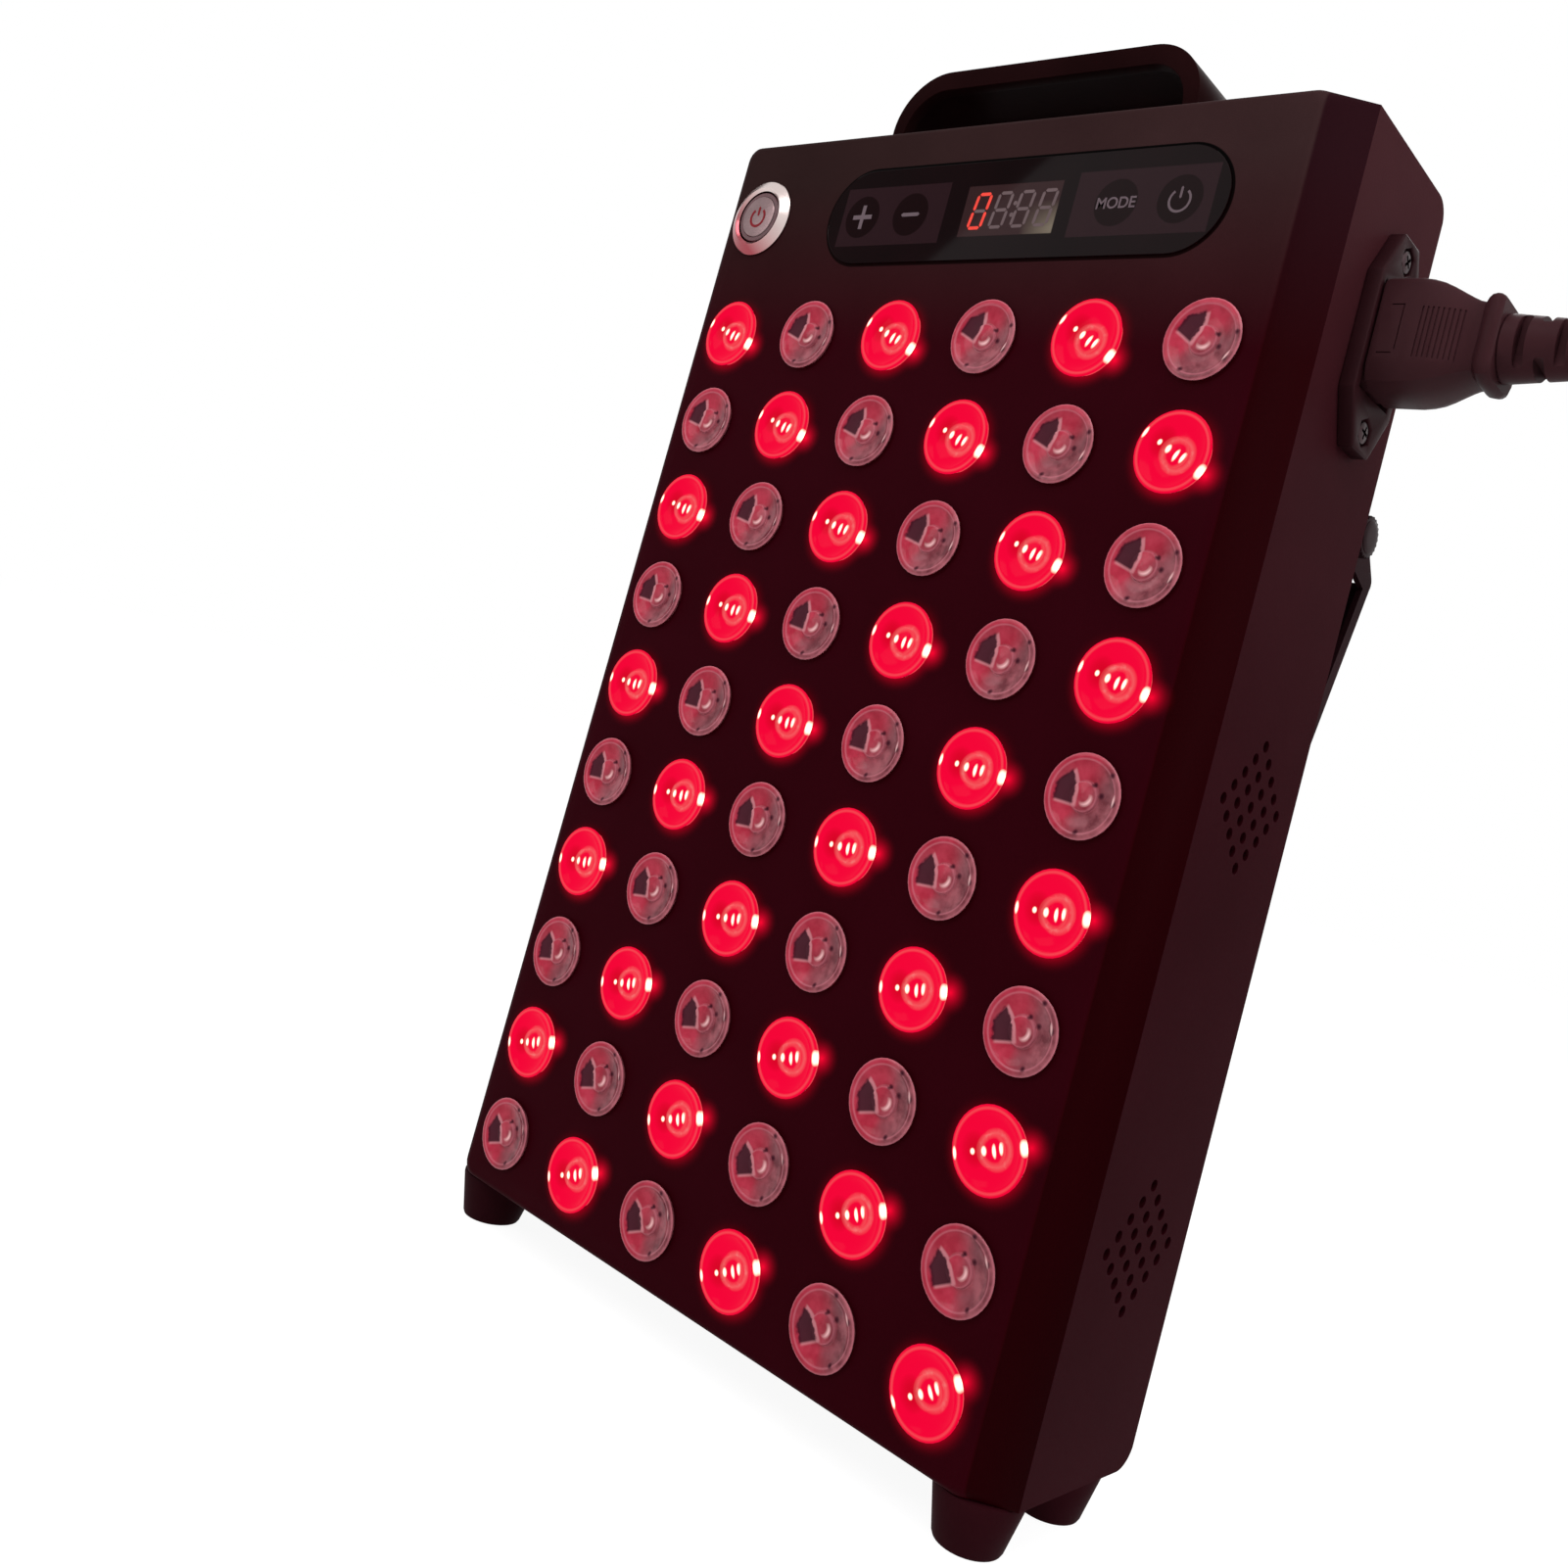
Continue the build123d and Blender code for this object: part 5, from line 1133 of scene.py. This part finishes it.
def connector_half_width(x):
    """Half the connector's width at one place along it."""
    for (x0, w0, _), (x1, w1, _) in zip(CONNECTOR_STATIONS, CONNECTOR_STATIONS[1:]):
        if x0 <= x <= x1:
            return (w0 + (w1 - w0) * (x - x0) / (x1 - x0)) / 2
    raise ValueError(f"{x} is not on the connector")


def mains_connector(finish):
    """The connector: a swelling body with chamfered lower edges, ribs, neck and round collar."""
    body = moulded_body(CONNECTOR_STATIONS, 1.6, 4.2)
    marks = bmesh.new()
    for wall in (-CONNECTOR_HALF_W, CONNECTOR_HALF_W):
        for x0, x1, z0, z1 in (
            (107.0, 107.3, -4.4, 5.9),
            (104.4, 107.0, 5.6, 5.9),
            (103.4, 106.6, -5.3, -5.0),
        ):
            block(marks, x0, x1, wall - 0.35, wall + 0.35, z0, z1)
    body = carved(body, marks)
    ribs = bmesh.new()
    for i in range(RIB_COUNT):
        x = RIB_FIRST + i * RIB_STEP
        for side in (-1, 1):
            wall = side * connector_half_width(x)
            block(ribs, x, x + 0.4, wall - 0.3, wall + 0.3, -5.9, 5.4)
    body = carved(body, ribs)
    body.transform(Matrix.Translation((0, INLET_Y, INLET_Z)))
    make_piece("connector_body", body, finish, ("mains_connector",), smooth=30)


RELIEF_R = 7.4
RELIEF_END_R = 4.9
RELIEF_BORE_R = 3.7
RELIEF_SLOT_START = 4.4
RELIEF_SLOT_PITCH = 4.1


def slotted_relief(length, slots):
    """A tapered rubber sleeve along +X from its wide end, with staggered round-ended slots."""
    sleeve = turned(
        (
            (RELIEF_BORE_R, 0.0), (RELIEF_R - 0.3, 0.0), (RELIEF_R, 0.35),
            (RELIEF_END_R + 0.1, length - 0.7), (RELIEF_END_R - 0.25, length - 0.1),
            (RELIEF_BORE_R, length), (RELIEF_BORE_R, 0.0),
        ),
        40,
    )
    sleeve.transform(Matrix.Rotation(-math.pi / 2, 4, "Z"))
    cuts = bmesh.new()
    for i in range(slots):
        x = RELIEF_SLOT_START + RELIEF_SLOT_PITCH * i
        reach = RELIEF_R - 1.6 - 0.25 * i
        inner = RELIEF_BORE_R + 0.2
        outer = RELIEF_R + 2
        for low, high in ((-outer, -inner), (inner, outer)):
            cut = bmesh.new()
            block(cut, x - 1.1, x + 1.1, low, high, -reach, reach)
            ends = [e for e in cut.edges if abs(e.verts[0].co.y - e.verts[1].co.y) > 1]
            rounded(cut, ends, 0.85, 4)
            cut.transform(Matrix.Rotation(i % 2 * math.pi / 2, 4, "X"))
            add_shape(cuts, cut)
    return carved(sleeve, cuts)


def connector_relief(finish):
    """The slotted strain relief behind the connector's collar."""
    place = Matrix.Translation((CONNECTOR_STATIONS[-1][0], INLET_Y, INLET_Z))
    bm = repeated(slotted_relief(29.0, 6), place)
    make_piece("connector_relief", bm, finish, ("connector_strain_relief",))


def coil_end_place():
    """The place at the coil's end that turns +X the way the cord runs on."""
    last = COIL_TURNS + COIL_CLIMB
    end = Vector(coil_point(last))
    before = Vector(coil_point(last - 0.001))
    heading = math.atan2(end.y - before.y, end.x - before.x)
    return Matrix.Translation(end) @ Matrix.Rotation(heading, 4, "Z")


PLUG_RELIEF = 22.0
PLUG_HALF_W = 13.5
PLUG_STATIONS = (
    (0.0, 14.2, 14.2), (0.6, 14.8, 14.6), (3.0, 17.6, 16.4), (6.5, 21.6, 19.4),
    (10.0, 25.2, 22.4), (12.5, 26.8, 23.7), (15.0, 27.0, 24.0), (31.6, 27.0, 24.0),
    (33.2, 26.4, 23.4), (34.0, 25.0, 22.0),
)


def mains_plug(finish, brass):
    """The mains plug on the coil: its moulded body with grip ribs, its relief and its contacts."""
    body = moulded_body(PLUG_STATIONS, 2.4, 2.4)
    grips = bmesh.new()
    for i in range(6):
        x = 15.5 + 2.1 * i
        for wall in (-PLUG_HALF_W, PLUG_HALF_W):
            block(grips, x, x + 0.9, wall - 0.5, wall + 0.5, -7.0, 7.0)
    body = carved(body, grips)
    after_relief = coil_end_place() @ Matrix.Translation((PLUG_RELIEF, 0, 0))
    body.transform(after_relief)
    plug = make_piece("plug_body", body, finish, ("mains_plug",), smooth=30)
    relief = slotted_relief(PLUG_RELIEF, 4)
    relief.transform(after_relief @ Matrix.Rotation(math.pi, 4, "Z"))
    sleeve = make_piece("plug_relief", relief, finish, ("plug_strain_relief",))
    contacts = softened("plug_contacts", 0.5, brass)
    return plug, sleeve, contacts


FEET = {
    "front_left_foot": (-86.0, 11.6),
    "front_right_foot": (86.0, 11.6),
    "rear_left_foot": (-86.0, 42.4),
    "rear_right_foot": (86.0, 42.4),
}


def rubber_feet(finish):
    """Four tapered rubber feet with rounded edges, standing on the table."""
    foot = turned(
        (
            (0.0, 12.2), (9.9, 12.2), (10.35, 11.9), (10.35, 11.2), (7.9, 0.9), (7.55, 0.25),
            (6.9, 0.0), (5.4, 0.0), (5.0, 0.5), (0.0, 0.5),
        ),
        44,
    )
    standing = Matrix.Rotation(math.pi / 2, 4, "X")
    places = [Matrix.Translation((x, y, 0)) @ standing for x, y in FEET.values()]
    make_piece("rubber_feet", repeated(foot, *places), finish, tuple(FEET),
               smooth=40)


KNOB_R = 5.15
KNOB_T = 3.0
KNOB_X = 92.9
KNOB_RIDGES = 22
KNOB_GROOVE = 0.92


def thumb_screw(side, finish):
    """A ridged knob with a domed face on the stand's pivot."""
    bm = bmesh.new()
    add_bar(bm, KNOB_R, 2 * KNOB_RIDGES, (0, 0, 0), (0, 0, KNOB_T))
    for vert in bm.verts:
        step = round(math.atan2(vert.co.y, vert.co.x) * KNOB_RIDGES / math.pi)
        if step % 2:
            vert.co.x *= KNOB_GROOVE
            vert.co.y *= KNOB_GROOVE
    ends = [e for e in bm.edges if abs(e.verts[0].co.z - e.verts[1].co.z) < 0.01]
    rounded(bm, ends, 0.3, 2)
    dome = turned(
        ((0.0, 2.6), (4.1, 2.6), (4.1, 3.15), (3.7, 3.35), (2.6, 3.46), (1.2, 3.5), (0.0, 3.5)),
        36,
    )
    dome.transform(Matrix.Rotation(math.pi / 2, 4, "X"))
    add_shape(bm, dome)
    add_bar(bm, 2.0, 24, (0, 0, -6.5), (0, 0, 0.4))
    across = Matrix.Rotation(side * math.pi / 2, 4, "Y")
    place = Matrix.Translation((side * KNOB_X, HINGE_Y, HINGE_Z)) @ across
    bm.transform(place)
    node = ("left" if side < 0 else "right") + "_thumb_screw"
    make_piece(node + "_knurled", bm, finish, (node,), body_of[node], smooth=25)


# Each grained finish: its colour, roughness, grain and relief in metres, then its gloss and
# mottling where they aren't the usual
GRAINED = {
    "casing_paint": ((0.0155, 0.0045, 0.0062), *PAINT_GRAIN, 0.02),
    "moulded_black": ((0.01, 0.0026, 0.0029), 0.42, 0.0005, 0.00002, 0.003),
    "lead_black": ((0.033, 0.0106, 0.013), 0.42, 0.0005, 0.00002, 0.03),
    "inlet_black": ((0.02, 0.0052, 0.0068), 0.42, 0.0005, 0.00002, 0.03),
    "black_rubber": ((0.019, 0.0026, 0.0044), 0.6, 0.0006, 0.00003, 0.015),
    "cord_jacket": ((0.013, 0.0055, 0.0068), 0.42, 0.0008, 0.00002, 0.06),
    "knob_black": ((0.016, 0.006, 0.0075), 0.38, 0.0004, 0.00002, 0.05),
    "board": ((0.62, 0.62, 0.58), 0.3, 0.0008, 0.00001, USUAL_GLOSS, 0.08),
    "display": ((0.03, 0.014, 0.014), 0.2, 0.001, 0.00001),
    "key_pad": ((0.6, 0.6, 0.6), 0.5, 0.0008, 0.00001, USUAL_GLOSS, 0.06),
    "light_chip": ((0.8, 0.6, 0.18), 0.3, 0.0006, 0.00001, USUAL_GLOSS, 0.15),
    "unlit_segment": ((0.105, 0.068, 0.072), 0.35, 0.0006, 0.00001, 0.1),
    "key_ink": ((0.085, 0.058, 0.068), 0.4, 0.0006, 0.00001, 0.1),
    "button_ring": ((0.075, 0.016, 0.022), 0.3, 0.0005, 0.00001),
}
# Each brushed metal: its colour and roughness, then its scratches where they aren't fine
BRUSHED = {
    "screw_steel": ((0.42, 0.39, 0.4), 0.34),
    "dark_screw_steel": ((0.055, 0.033, 0.036), 0.4),
    "button_disc_steel": ((0.24, 0.16, 0.165), 0.3),
    "bare_aluminium": ((0.7, 0.7, 0.71), 0.36, 0.0006),
    "contact_brass": ((0.7, 0.56, 0.3), 0.26),
}
# Each part that gives off light: the light's colour and strength, and the part's own colour
GLOWING = {
    "button_sign": ((0.5, 0.0, 0.015), 0.3, (0.03, 0.001, 0.002)),
    "lit_segment": ((1.0, 0.06, 0.035), 0.82, (0.1, 0.005, 0.004)),
}


def all_finishes():
    """The finishes by name; the CAD's slots are among the names."""
    finishes = {name: grained(name, *look) for name, look in GRAINED.items()}
    for name, look in BRUSHED.items():
        finishes[name] = brushed(name, *look)
    for slot in ("red_lens", "infrared_lens", "overlay_gloss"):
        finishes[slot] = finishes["display"]
    finishes["button_steel"] = button_steel()
    for name, look in GLOWING.items():
        finishes[name] = glowing(name, *look)
    return finishes


def main():
    """Makes every piece of the panel and its surroundings."""
    bpy.context.scene.view_settings.view_transform = "Standard"
    camera()
    stage()
    lights()
    finishes = all_finishes()
    for node, slot in slot_of.items():
        for place in frame["nodes"][node].material_slots:
            place.material = finishes[slot]
    front_cover(cover_paint_and_painted_light())
    rear_casing(side_paint_and_painted_light())
    lens_faces("red_lens", True, lit_lens())
    lens_faces("infrared_lens", False, unlit_lens())
    control_overlay()
    key_signs(finishes["key_ink"])
    display_digits(finishes["lit_segment"], finishes["unlit_segment"])
    power_button(finishes)
    all_screws(finishes["screw_steel"], finishes["dark_screw_steel"])
    lead = finishes["lead_black"]
    mains_connector(lead)
    connector_relief(lead)
    rubber_feet(finishes["black_rubber"])
    for side in (-1, 1):
        thumb_screw(side, finishes["knob_black"])
    softened("handle", 1.0, finishes["moulded_black"], 3)
    softened("inlet_housing", 0.7, finishes["inlet_black"])
    for node, width in (
        ("stand_frame", 0.4),
        ("left_stand_bracket", 0.35),
        ("right_stand_bracket", 0.35),
        ("stand_pads", 0.4),
    ):
        softened(node, width, finishes[slot_of[node]])
    tie = softened("cord_tie", 0.25, finishes["black_rubber"])
    cord = mains_cord(finishes["cord_jacket"])
    mains_plug(lead, finishes["contact_brass"])


main()
